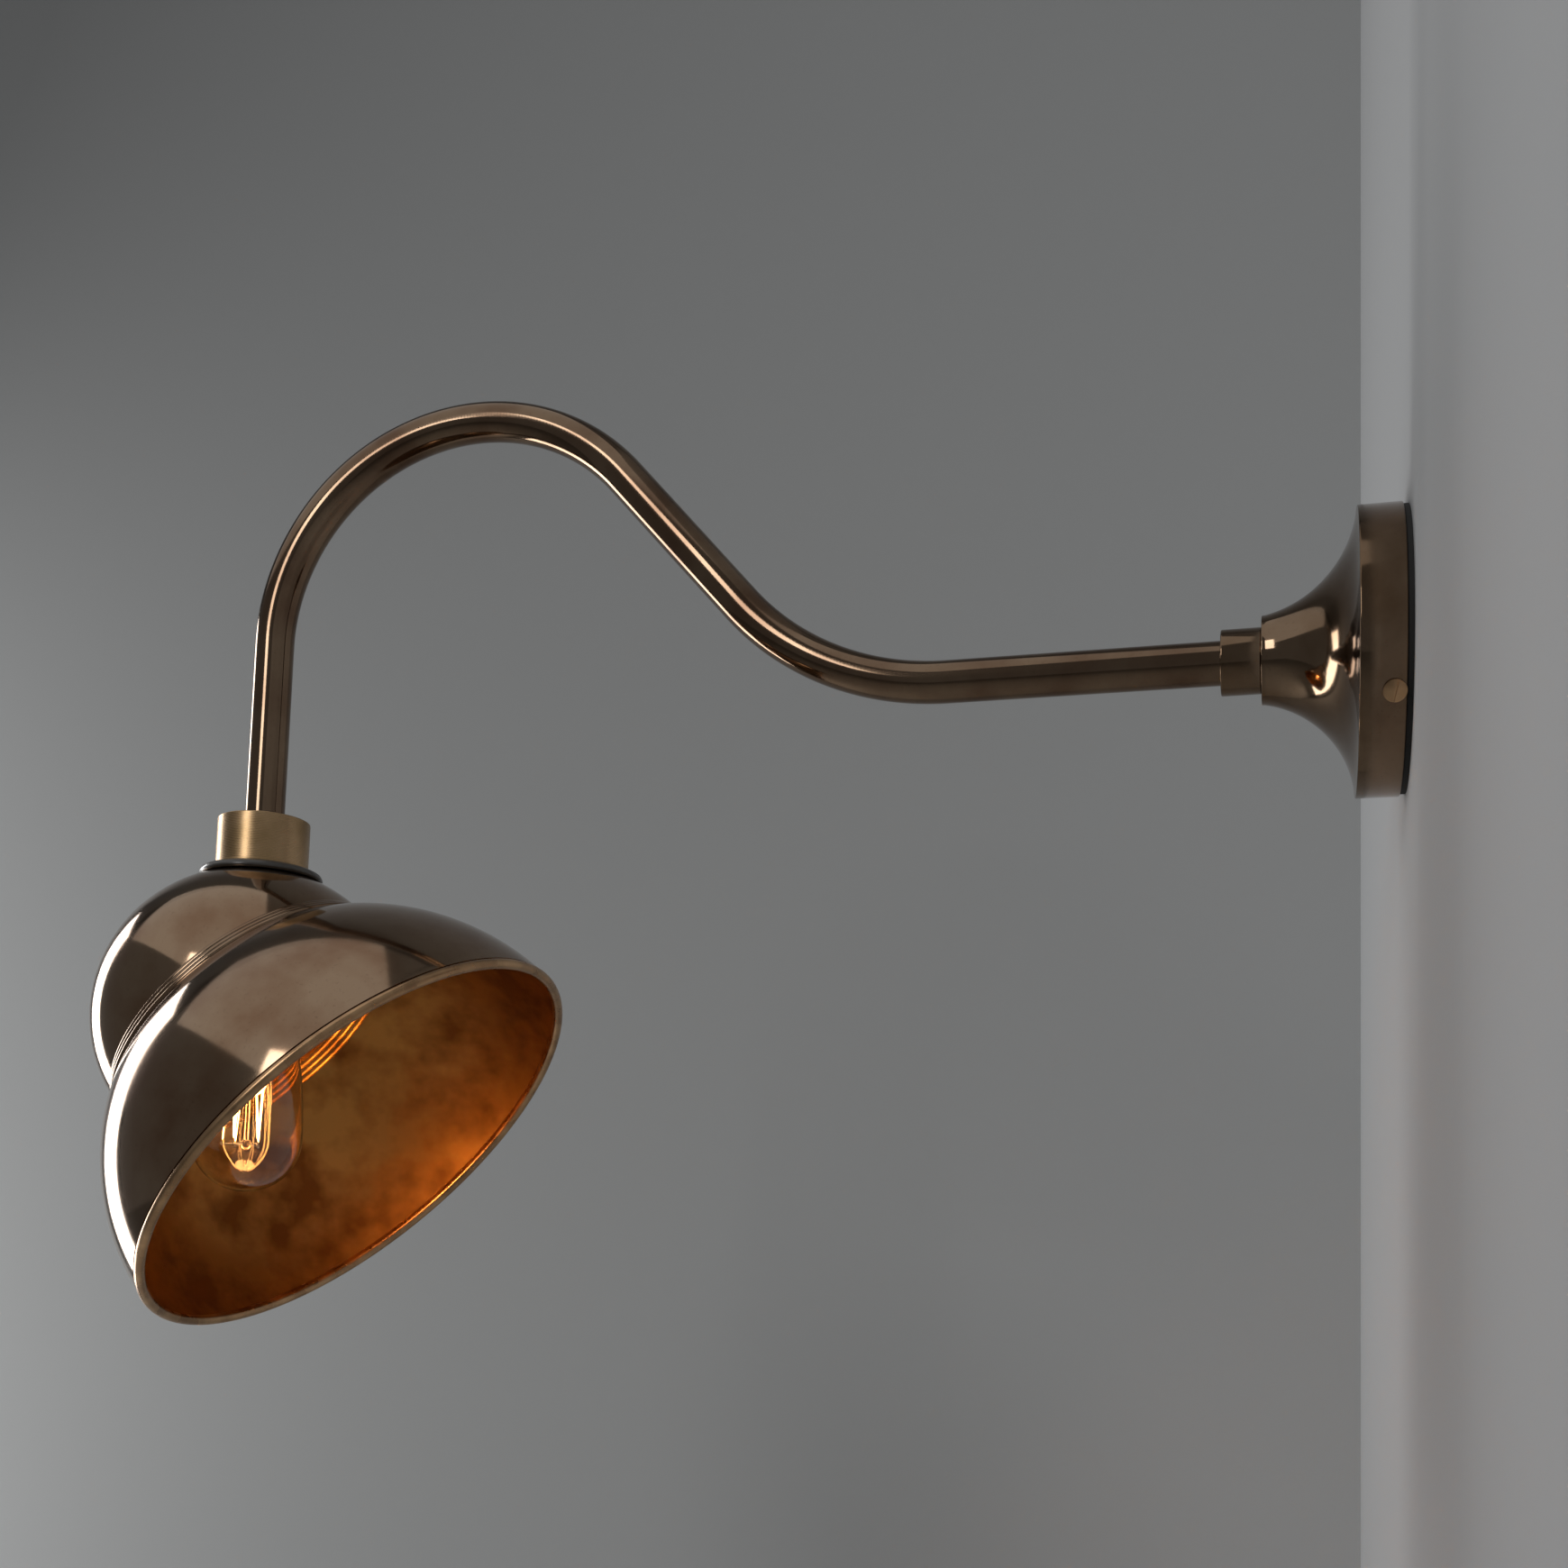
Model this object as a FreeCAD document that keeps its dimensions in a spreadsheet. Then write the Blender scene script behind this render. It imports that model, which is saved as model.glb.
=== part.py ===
import FreeCAD, Part
import math
import os
import re

import Sketcher

# Gooseneck wall sconce, in millimetres.
#
# The wall is the plane X = 0 and the arm leaves it along -X, with Z up. The origin is the
# middle of the mounting plate's back face, on the wall. Each piece is drawn in the frame that
# it is made in and then placed: "wall" pieces stand on the wall, "arm" pieces lie in the
# plane of the bent tube, "lamp" pieces are measured down from the tube's lower end, and the
# shade is measured from the middle of its small dome.

os.makedirs("parts", exist_ok=True)
doc = FreeCAD.newDocument("gooseneck_wall_sconce")
Vector = FreeCAD.Vector

# ---------------------------------------------------------------- driving dimensions

SIZES = {
    # clearances
    "face_gap": 0.1,            # between faces that meet in a stack
    "thread_gap": 0.05,         # radial, thread in thread
    "hole_gap": 0.2,            # radial, a part through a plain hole
    "turning_gap": 0.1,         # above and below the shade's clamped seat
    "bulb_gap": 0.3,            # radial, bulb's cap in the lampholder's shell
    "overcut": 1,               # holes and slots are cut this far past the piece
    # gasket and mounting plate
    "gasket_thickness": 2.4,
    "gasket_inset": 1,          # gasket's edge inside the rose's
    "plate_thickness": 2,
    "plate_rim_gap": 1.4,       # plate edge to the inside of the rose's rim
    "cable_hole_radius": 10,
    "slot_spacing": 60.3,       # wall box screw centres
    "slot_length": 14,
    "slot_width": 5,
    "lug_width": 12,
    "lug_past_screw": 5,        # lug past its screw's axis
    "lug_thickness": 2,
    # rose
    "rose_radius": 60,
    "rose_rim_depth": 17.9,
    "rose_wall": 2,
    "rose_bevel": 0.6,
    "rose_length": 56.2,
    "rose_neck_radius": 18.7,
    "rose_neck_lip": 1.2,
    "rose_front": 3,
    "flare_radius": 46,
    # slotted side screws of the rose
    "side_screws": 3,
    "side_screw_angle": 2,      # first screw, from straight up towards the far side
    "side_screw_slot": 78,      # way of the slots
    "side_screw_radius": 2.5,
    "side_screw_head": 4.6,
    "side_screw_head_height": 2,
    "side_screw_slot_width": 1.2,
    "side_screw_length": 8,
    "side_screw_depth": 4.6,    # from the rim's back edge
    # terminal block and earth screw
    "block_drop": 26,           # arm axis to the block's top
    "block_length": 18,
    "block_width": 20,
    "block_height": 12.8,
    "terminal_pitch": 9,
    "terminal_tube_wall": 1.1,
    "terminal_tube_inset": 1,   # tube's ends inside the block's
    "terminal_screw_inset": 5,  # screws from the block's ends
    "terminal_screw_radius": 1.3,
    "terminal_screw_length": 3.4,
    "grub_slot": 0.5,
    "grub_slot_depth": 1,
    "screw_point": 0.4,         # bevel at a screw's end
    "screw_head_dome": 0.35,    # share of a head's height that is domed
    "earth_screw_height": 26,
    "earth_screw_radius": 2,
    "earth_screw_length": 5,
    "earth_screw_head": 3.8,
    "earth_screw_head_height": 2.2,
    "earth_screw_slot_width": 1,
    "earth_washer_radius": 5,
    "earth_washer_thickness": 0.8,
    # threaded pipes with their nuts
    "pipe_radius": 5,
    "pipe_wall": 1.5,
    "nut_wall": 2,              # pipe to the middle of the nut's flats
    "nut_height": 5,
    "washer_width": 4,
    "washer_thickness": 1.5,
    "wall_pipe_length": 21.7,
    "wall_pipe_stand": 3,       # wall pipe past the collar's base
    "lamp_pipe_rise": 10,       # lamp pipe inside the tube
    "lamp_pipe_drop": 8.6,      # lamp pipe below the tube
    # arm
    "arm_roll": -6,             # the arm hangs a little towards the viewer
    "collar_wall": 4.5,
    "collar_length": 16.8,
    "collar_base": 4,
    "collar_bevel": 0.5,
    "tube_radius": 9.5,
    "tube_wall": 1.5,
    "lower_bend_start": 195,    # from the wall
    "lower_bend_radius": 130,
    "rise_angle": 48.5,
    "rise_length": 90,
    "upper_bend_radius": 105,
    "drop_length": 90,
    "bush_length": 12,
    # wires
    "wire_radius": 1,
    "wire_ring": 1.7,           # wire centres from the tube's centre line
    "wire_play": 0.5,           # radial, a wire in a terminal
    "wire_turn": 12,            # radius of the turns behind the rose
    "wire_grip": 9,             # wire inside the terminal block
    "wire_fan_start": 9.5,      # below the tube, where the wires part
    "wire_fan_length": 11.5,
    "post_grip": 6,             # wire inside the lampholder's posts
    # lampholder, measured down from the top of its cap
    "cap_wall": 2.25,
    "cap_length": 24.5,
    "cap_top": 2.5,
    "cap_lip": 0.5,
    "cap_lip_height": 1.4,
    "cap_bevel": 0.5,
    "sleeve_start": 12,
    "sleeve_play": 1.5,         # radial, screw shell in the sleeve
    "sleeve_wall": 3.6,
    "sleeve_thread_length": 32,
    "sleeve_nose_step": 1.5,
    "sleeve_nose_length": 22,
    "flange_width": 9.5,
    "flange_slope": 3.7,
    "flange_edge": 1.6,
    "flange_thickness": 4.5,
    "clamp_ring_width": 5.2,
    "clamp_ring_height": 6,
    "clamp_notches": 12,
    "clamp_notch_depth": 1.2,
    "clamp_notch_width": 3,
    "insulator_depth": 18,      # below the sleeve's top
    "insulator_height": 7,
    "posts": 3,
    "post_angle": 60,
    "post_ring": 9.5,
    "post_radius": 3.2,
    "post_height": 8,
    "post_screw_radius": 1.3,
    "post_screw_length": 3.4,
    "shell_wall": 0.5,
    "shell_groove": 0.7,
    "shell_threads": 6,
    "shell_flange_width": 7,
    "thread_pitch": 3.63,
    "thread_flank": 0.35,       # share of the pitch
    "contact_width": 5,
    "contact_thickness": 0.5,
    "contact_reach": 3,         # tongue's tip past the axis
    "contact_pad": 2,
    "contact_back": 5,          # tongue's foot from the axis
    "contact_foot": 3,
    "contact_skew": 0.3,
    # shade, measured from the middle of its small dome
    "shade_tilt": 45,           # shade axis from the lampholder axis
    "shade_wall": 1.2,
    "dome_radius": 75,
    "seat_drop": 5,             # flat seat below the dome's crown
    "waist_start": -3,          # along the shade axis
    "waist_step": 2.6,
    "waist_steps": 3,
    "waist_growth": 1.6,        # radius added by each step
    "waist_bead_share": 0.6,    # radius of a bead over the length of its step
    "bowl_radius": 120.4,
    "rim_lead": 6.7,            # rim short of the bowl's widest plane
    "rim_bead": 2.4,
    "rim_proud": 0.8,           # rolled rim past the bowl
    # bulb
    "bulb_rise": 4,             # bulb's tip below the ceramic disc
    "bulb_tip_radius": 4.6,
    "bulb_tip_height": 1.4,
    "bulb_base_height": 5.6,
    "bulb_plug_height": 2,
    "bulb_thread_lead": 0.7,
    "bulb_threads": 4,
    "bulb_thread_length": 16.4,
    "bulb_thread_depth": 0.8,
    "bulb_cap_radius": 13.2,
    "bulb_cap_wall": 0.5,
    "bulb_skirt_step": 1,
    "bulb_skirt_length": 4,
    "glass_wall": 0.8,
    "bulb_radius": 26.5,
    "bulb_side_length": 89.5,
    "bulb_neck_curve": 45,
    "stem_radius": 3.5,
    "stem_flare_length": 11,
    "stem_length": 21,
    "rod_radius": 1.2,
    "bead_radius": 2.6,
    "filament_strands": 10,
    "filament_radius": 0.25,
    "filament_length": 64,
    "filament_inset": 3,        # upper supports from the stem's end
    "filament_top_ring": 7.5,
    "filament_bottom_ring": 11,
    "support_radius": 0.35,
}

DERIVED = {
    # wall end, distances from the wall
    "rim_inside": "rose_radius - rose_wall",
    "plate_radius": "rim_inside - plate_rim_gap",
    "gasket_bore": "plate_radius + 2 * hole_gap",
    "rim_front": "gasket_thickness + rose_rim_depth",
    "rose_end": "gasket_thickness + rose_length",
    "rose_inner_face": "rose_end - rose_front",
    "side_screw_height": "gasket_thickness + side_screw_depth",
    "block_start": "-(block_drop + block_length)",
    "block_axis": "plate_thickness + face_gap + block_height / 2",
    "terminal_bore": "wire_radius + wire_play",
    "wire_at_earth": "plate_thickness + face_gap + wire_radius",
    "earth_screw_aside": "earth_screw_radius + wire_radius + face_gap - wire_ring * sin(arm_roll)",
    "earth_washer_start": "wire_at_earth + wire_radius + face_gap",
    "earth_head_start": "earth_washer_start + earth_washer_thickness + face_gap",
    "washer_start": "rose_inner_face - washer_thickness - face_gap",
    "nut_start": "washer_start - nut_height - face_gap",
    "nut_circle": "(pipe_radius + nut_wall) / cos(30)",
    "pipe_bore": "pipe_radius - pipe_wall",
    "collar_start": "rose_end + face_gap",
    "collar_end": "collar_start + collar_length",
    "collar_radius": "tube_radius + collar_wall",
    "socket_start": "collar_start + collar_base",
    "wall_pipe_end": "socket_start + wall_pipe_stand",
    "tube_start": "socket_start + face_gap",
    "tube_bore": "tube_radius - tube_wall",
    # arm, in the plane of the bent tube
    "rise_start": "lower_bend_start + lower_bend_radius * sin(rise_angle)",
    "rise_foot": "lower_bend_radius * (1 - cos(rise_angle))",
    "rise_end": "rise_start + rise_length * cos(rise_angle)",
    "rise_top": "rise_foot + rise_length * sin(rise_angle)",
    "lamp_reach": "rise_end + upper_bend_radius * (1 + sin(rise_angle))",
    "drop_top": "rise_top - upper_bend_radius * cos(rise_angle)",
    "tube_end": "drop_top - drop_length",
    # lampholder, radii from the bulb's cap outwards
    "shell_bore": "bulb_cap_radius + bulb_gap",
    "sleeve_bore": "shell_bore + shell_wall + shell_groove + sleeve_play",
    "sleeve_radius": "sleeve_bore + sleeve_wall",
    "sleeve_nose_radius": "sleeve_radius - sleeve_nose_step",
    "holder_thread": "sleeve_radius + thread_gap",
    "cap_radius": "holder_thread + cap_wall",
    "flange_radius": "holder_thread + flange_width",
    "flange_top_radius": "flange_radius - flange_slope",
    "clamp_ring_radius": "holder_thread + clamp_ring_width",
    "shade_hole": "sleeve_radius + 2 * hole_gap",
    # lampholder, distances below the top of its cap
    "flange_start": "cap_length + face_gap",
    "flange_end": "flange_start + flange_thickness",
    "seat_top": "flange_end + turning_gap",
    "clamp_ring_start": "seat_top + shade_wall + turning_gap",
    "clamp_ring_end": "clamp_ring_start + clamp_ring_height",
    "sleeve_thread_end": "sleeve_start + sleeve_thread_length",
    "sleeve_end": "sleeve_thread_end + sleeve_nose_length",
    "insulator_start": "sleeve_start + insulator_depth",
    "insulator_end": "insulator_start + insulator_height",
    "post_start": "insulator_start - post_height",
    "shell_start": "insulator_end + face_gap",
    # shade
    "seat_height": "dome_radius - seat_drop",
    "seat_radius": "sqrt(dome_radius^2 - seat_height^2)",
    "dome_middle": "seat_top + seat_height",
    "waist_end": "waist_start + waist_steps * waist_step",
    "waist_small": "sqrt(dome_radius^2 - waist_start^2)",
    "waist_large": "waist_small + waist_steps * waist_growth",
    "waist_bead": "waist_bead_share * sqrt(waist_step^2 + waist_growth^2)",
    "bowl_middle": "waist_end + sqrt(bowl_radius^2 - waist_large^2)",
    "rim_depth": "bowl_middle - rim_lead",
    "rim_outside": "sqrt(bowl_radius^2 - rim_lead^2)",
    "rim_ring": "rim_outside + rim_proud - rim_bead",
    # bulb, distances below the top of the lampholder's cap
    "bulb_top": "insulator_end + bulb_rise",
    "contact_tip": "bulb_top - 2 * face_gap",
    "bulb_tip_end": "bulb_top + bulb_tip_height",
    "bulb_cap_start": "bulb_top + bulb_base_height",
    "bulb_skirt_start": "bulb_cap_start + bulb_thread_length",
    "bulb_cap_end": "bulb_skirt_start + bulb_skirt_length",
    "bulb_widest": "bulb_cap_end + bulb_side_length",
    "bulb_bottom": "bulb_widest + bulb_radius",
    "stem_flare_end": "bulb_cap_end + stem_flare_length",
    "stem_end": "stem_flare_end + stem_length",
    "filament_top": "stem_end - filament_inset",
    "filament_bottom": "filament_top + filament_length",
    # bulb, radii; the curve of its neck touches the long curve of its side from outside
    "bulb_skirt_bore": "bulb_cap_radius - bulb_cap_wall",
    "bulb_thread_root": "bulb_cap_radius - bulb_thread_depth - face_gap",
    "bulb_cap_bore": "bulb_thread_root - bulb_cap_wall",
    "neck_radius": "bulb_skirt_bore - face_gap",
    "neck_bore": "neck_radius - glass_wall",
    "bulb_growth": "bulb_radius - neck_radius",
    "curve_span": "(bulb_growth^2 + bulb_side_length^2) / (2 * bulb_growth)",
    "bulb_side_radius": "curve_span - bulb_neck_curve",
    "side_middle": "bulb_radius - bulb_side_radius",
}

sheet = doc.addObject("Spreadsheet::Sheet", "Sizes")
for row, (name, value) in enumerate(list(SIZES.items()) + list(DERIVED.items()), start=1):
    sheet.set("A%d" % row, name)
    sheet.set("B%d" % row, "=" + value if isinstance(value, str) else str(value))
    sheet.setAlias("B%d" % row, name)
doc.recompute()

ALIASES = set(SIZES) | set(DERIVED)
NODES = []


def bound(expression):
    """The expression with each size's name pointed at the spreadsheet."""
    def point(word):
        return "Sizes." + word.group() if word.group() in ALIASES else word.group()
    return re.sub(r"[A-Za-z_]+", point, str(expression))


def number(expression):
    """The value of an expression in the spreadsheet's names."""
    return float(sheet.evalExpression(str(expression)))


def bind(piece, **sizes):
    """Ties properties of a piece to expressions."""
    for name, expression in sizes.items():
        piece.setExpression(name, bound(expression))


def turn(axis, angle):
    """A rotation expression about the X, Y or Z axis."""
    way = {"x": "1;0;0", "y": "0;1;0", "z": "0;0;1"}[axis]
    return "rotation(vector(%s);%s)" % (way, angle)


def spot(x=0, y=0, z=0, turned_by=turn("z", 0)):
    """A placement expression: a point and a turn."""
    return "placement(vector(%s;%s;%s);%s)" % (x, y, z, turned_by)


def around(angle, place):
    """A placement expression swung about the Z axis."""
    return spot(turned_by=turn("z", angle)) + " * " + place


def hung(height):
    """Base of a point on the lamp's axis, at a height in the plane of the bent tube."""
    return "-lamp_reach", "-(%s) * sin(arm_roll)" % height, "(%s) * cos(arm_roll)" % height


FRAMES = {
    "wall": spot(turned_by=turn("y", -90)),
    "arm": spot(turned_by=turn("x", "arm_roll")),
    "lamp": spot(*hung("tube_end"), turn("x", "180 + arm_roll")),
    "shade": spot(*hung("tube_end - dome_middle"),
                  turn("x", "arm_roll") + " * " + turn("y", "180 - shade_tilt")),
}


def node(piece, label, frame, place=spot()):
    """Names a finished piece and puts it in its place in a frame."""
    piece.Label = label
    bind(piece, Placement=FRAMES[frame] + " * " + place)
    NODES.append(piece)


# ---------------------------------------------------------------- drawing helpers

def plane(body, role):
    """One of a body's own origin planes."""
    return [item for item in body.Origin.OriginFeatures if item.Role == role][0]


def tie(sketch, kind, *places, value=None):
    """One sketch constraint, tied to an expression where it has a value."""
    if value is None:
        sketch.addConstraint(Sketcher.Constraint(kind, *places))
        return
    index = sketch.addConstraint(Sketcher.Constraint(kind, *places, number(value)))
    sketch.setExpression("Constraints[%d]" % index, bound(value))


def arc_middle(start, end, radius, side):
    """The middle of the short arc whose centre lies to the left (1) or right (-1) of the way."""
    chord = end - start
    half = chord.Length / 2
    left = Vector(-chord.y, chord.x, 0).normalize() * side
    rise = radius - math.sqrt(radius ** 2 - half ** 2)
    return (start + end) * 0.5 - left * rise


def outline(body, role, corners, closed=True):
    """A sketch through corners (x, y) or (x, y, arc radius, side), all tied to expressions."""
    sketch = body.newObject("Sketcher::SketchObject", body.Name + "_outline")
    sketch.AttachmentSupport = [(plane(body, role), "")]
    sketch.MapMode = "FlatFace"
    sketch.Visibility = False
    points = [Vector(number(corner[0]), number(corner[1]), 0) for corner in corners]
    count = len(corners) if closed else len(corners) - 1
    ends = []
    for index in range(count):
        start = points[index]
        end = points[(index + 1) % len(points)]
        if len(corners[index]) == 2:
            edge = Part.LineSegment(start, end)
        else:
            radius, side = corners[index][2:]
            edge = Part.Arc(start, arc_middle(start, end, number(radius), side), end)
        sketch.addGeometry(edge, False)
        forward = (sketch.getPoint(index, 1) - start).Length < (sketch.getPoint(index, 2) - start).Length
        ends.append((1, 2) if forward else (2, 1))
    for index in range(count):
        following = (index + 1) % count
        if closed or index < count - 1:
            tie(sketch, "Coincident", index, ends[index][1], following, ends[following][0])
        tie(sketch, "DistanceX", -1, 1, index, ends[index][0], value=corners[index][0])
        tie(sketch, "DistanceY", -1, 1, index, ends[index][0], value=corners[index][1])
        if len(corners[index]) > 2:
            tie(sketch, "Radius", index, value=corners[index][2])
    if not closed:
        tie(sketch, "DistanceX", -1, 1, count - 1, ends[-1][1], value=corners[-1][0])
        tie(sketch, "DistanceY", -1, 1, count - 1, ends[-1][1], value=corners[-1][1])
    return sketch


def turned(name, corners):
    """A body of revolution about Z from corners (radius, height)."""
    body = doc.addObject("PartDesign::Body", name)
    sketch = outline(body, "XZ_Plane", corners)
    feature = body.newObject("PartDesign::Revolution", name + "_turned")
    feature.Profile = sketch
    feature.ReferenceAxis = (sketch, ["V_Axis"])
    feature.Angle = 360
    return body


def ring(name, inside, outside, start, end):
    """A plain turned ring."""
    return turned(name, [(inside, start), (outside, start), (outside, end), (inside, end)])


def cylinder(radius, height, place):
    """A round bar along the Z axis of its placement."""
    bar = doc.addObject("Part::Cylinder", "bar")
    bind(bar, Radius=radius, Height=height, Placement=place)
    return bar


def box(length, width, height, place):
    """A block with its corner at its placement."""
    block = doc.addObject("Part::Box", "block")
    bind(block, Length=length, Width=width, Height=height, Placement=place)
    return block


def fused(name, pieces):
    """Pieces joined into one."""
    whole = doc.addObject("Part::MultiFuse", name)
    whole.Shapes = pieces
    return whole


def cut(name, base, tools):
    """A piece with other pieces cut out of it."""
    whole = doc.addObject("Part::Cut", name)
    whole.Base = base
    whole.Tool = tools[0] if len(tools) == 1 else fused(name + "_tools", tools)
    return whole


def group(name, pieces):
    """Separate solids kept together as one node."""
    whole = doc.addObject("Part::Compound", name)
    whole.Links = pieces
    return whole


def hex_nut(name, start):
    """A hexagonal nut on a threaded pipe."""
    blank = doc.addObject("Part::Prism", name + "_blank")
    blank.Polygon = 6
    bind(blank, Circumradius="nut_circle", Height="nut_height", Placement=spot(z=start))
    bore = cylinder("pipe_radius + thread_gap", "nut_height + 2 * overcut",
                    spot(z="%s - overcut" % start))
    return cut(name, blank, [bore])


def slotted_screw(name, prefix, length, place):
    """A slotted screw with a low domed head that stands on the XY plane of its placement."""
    shank = prefix + "_radius"
    head = prefix + "_head"
    height = prefix + "_head_height"
    slot = prefix + "_slot_width"
    dome = "screw_head_dome * " + height
    blank = turned(name + "_blank", [
        (0, "-%s" % length),
        ("%s - screw_point" % shank, "-%s" % length),
        (shank, "screw_point - %s" % length),
        (shank, 0),
        (head, 0),
        (head, "%s - %s" % (height, dome), "(%s^2 + (%s)^2) / (2 * %s)" % (head, dome, dome), 1),
        (0, height),
    ])
    groove = box("2 * (%s + overcut)" % head, slot, height,
                 spot("-%s - overcut" % head, "-%s / 2" % slot, height + " / 2"))
    screw = cut(name, blank, [groove])
    bind(screw, Placement=place)
    return screw


def grub_screw(name, radius, length, place):
    """A headless slotted screw that starts on the XY plane of its placement."""
    bar = cylinder(radius, length, spot())
    groove = box("2 * (%s + overcut)" % radius, "grub_slot", "grub_slot_depth + overcut",
                 spot("-%s - overcut" % radius, "-grub_slot / 2", "%s - grub_slot_depth" % length))
    screw = cut(name, bar, [groove])
    bind(screw, Placement=place)
    return screw


# ---------------------------------------------------------------- wall end

def wall_gasket():
    """Thin dark ring between the rose and the wall."""
    node(ring("gasket", "gasket_bore", "rose_radius - gasket_inset", 0, "gasket_thickness"),
         "wall_gasket", "wall")


def side_screw_way(index):
    """Angle of one of the rose's side screws about the arm's axis."""
    return "side_screw_angle + %d * 360 / side_screws" % index


def mounting_plate():
    """Steel disc with a cable hole, two wall screw slots and three bent lugs."""
    below = "-overcut"
    through = "plate_thickness + 2 * overcut"
    pieces = [cylinder("plate_radius", "plate_thickness", spot())]
    holes = [cylinder("cable_hole_radius", through, spot(z=below)),
             cylinder("earth_screw_radius + thread_gap", through,
                      spot("earth_screw_height", "earth_screw_aside", below))]
    for index in range(int(number("side_screws"))):
        lug = spot("plate_radius - lug_thickness", "-lug_width / 2", 0)
        pieces.append(box("lug_thickness", "lug_width", "side_screw_height + lug_past_screw",
                          around(side_screw_way(index), lug)))
        hole = spot("plate_radius - 2 * lug_thickness", 0, "side_screw_height", turn("y", 90))
        holes.append(cylinder("side_screw_radius + thread_gap", "3 * lug_thickness",
                              around(side_screw_way(index), hole)))
    for side in (-1, 1):
        straight = "(slot_length - slot_width)"
        middle = "%d * slot_spacing / 2" % side
        holes.append(box("slot_width", straight, through,
                         spot("-slot_width / 2", "%s - %s / 2" % (middle, straight), below)))
        for end in (-1, 1):
            holes.append(cylinder("slot_width / 2", through,
                                  spot(0, "%s + %d * %s / 2" % (middle, end, straight), below)))
    node(cut("plate", fused("plate_blank", pieces), holes), "mounting_plate", "wall")


def wall_rose():
    """Spun brass rose: a straight rim that flares into a trumpet."""
    blank = turned("rose", [
        ("rim_inside", "gasket_thickness"),
        ("rose_radius - rose_bevel", "gasket_thickness"),
        ("rose_radius", "gasket_thickness + rose_bevel"),
        ("rose_radius", "rim_front - rose_bevel"),
        ("rose_radius - rose_bevel", "rim_front", "flare_radius", -1),
        ("rose_neck_radius", "rose_end - rose_neck_lip"),
        ("rose_neck_radius", "rose_end"),
        ("pipe_radius + hole_gap", "rose_end"),
        ("pipe_radius + hole_gap", "rose_inner_face"),
        ("rose_neck_radius - rose_wall", "rose_inner_face", "flare_radius + rose_wall", 1),
        ("rim_inside", "rim_front - rose_wall"),
    ])
    holes = []
    for index in range(int(number("side_screws"))):
        place = spot("rim_inside - 2 * rose_wall", 0, "side_screw_height", turn("y", 90))
        holes.append(cylinder("side_screw_radius + hole_gap", "5 * rose_wall",
                              around(side_screw_way(index), place)))
    node(cut("rose_drilled", blank, holes), "wall_rose", "wall")


def rose_side_screws():
    """Slotted screws that hold the rose to the plate's lugs."""
    screws = []
    for index in range(int(number("side_screws"))):
        place = (spot("rose_radius + face_gap / 2", 0, "side_screw_height", turn("y", 90)) + " * "
                 + spot(turned_by=turn("z", "side_screw_slot")))
        screws.append(slotted_screw("side_screw_%d" % index, "side_screw", "side_screw_length",
                                    around(side_screw_way(index), place)))
    node(group("side_screws_set", screws), "rose_side_screws", "wall")


def earth_terminal():
    """Screw and washer that clamp the earth wire against the plate."""
    washer = ring("washer_under_screw", "earth_screw_radius + hole_gap", "earth_washer_radius",
                  0, "earth_washer_thickness")
    node(washer, "earth_washer", "wall",
         spot("earth_screw_height", "earth_screw_aside", "earth_washer_start"))
    node(slotted_screw("screw_for_earth", "earth_screw", "earth_screw_length", spot()),
         "earth_screw", "wall", spot("earth_screw_height", "earth_screw_aside", "earth_head_start"))


def terminal_block():
    """Insulating two way block with brass clamp tubes and their screws."""
    blank = box("block_length", "block_width", "block_height",
                spot("block_start", "-block_width / 2", "plate_thickness + face_gap"))
    screw_foot = "block_axis + wire_radius + face_gap"
    holes = []
    tubes = []
    screws = []
    for side in (-1, 1):
        across = "%d * terminal_pitch / 2" % side
        way = spot("block_start - overcut", across, "block_axis", turn("y", 90))
        through = "block_length + 2 * overcut"
        holes.append(cylinder("terminal_bore + terminal_tube_wall + thread_gap", through, way))
        tube = cylinder("terminal_bore + terminal_tube_wall", "block_length - 2 * terminal_tube_inset",
                        spot("block_start + terminal_tube_inset", across, "block_axis", turn("y", 90)))
        drills = [cylinder("terminal_bore", through, way)]
        for along in ("block_start + terminal_screw_inset",
                      "block_start + block_length - terminal_screw_inset"):
            drills.append(cylinder("terminal_screw_radius + thread_gap", "block_height",
                                   spot(along, across, "block_axis")))
            holes.append(cylinder("terminal_screw_radius + 2 * hole_gap", "block_height",
                                  spot(along, across, "block_axis")))
            screws.append(grub_screw("terminal_screw_%d" % len(screws), "terminal_screw_radius",
                                     "terminal_screw_length", spot(along, across, screw_foot)))
        tubes.append(cut("terminal_tube_%d" % len(tubes), tube, drills))
    node(cut("block_drilled", blank, holes), "terminal_block", "wall")
    node(group("terminal_tubes_set", tubes), "terminal_tubes", "wall")
    node(group("terminal_screws_set", screws), "terminal_screws", "wall")


# ---------------------------------------------------------------- arm

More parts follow.
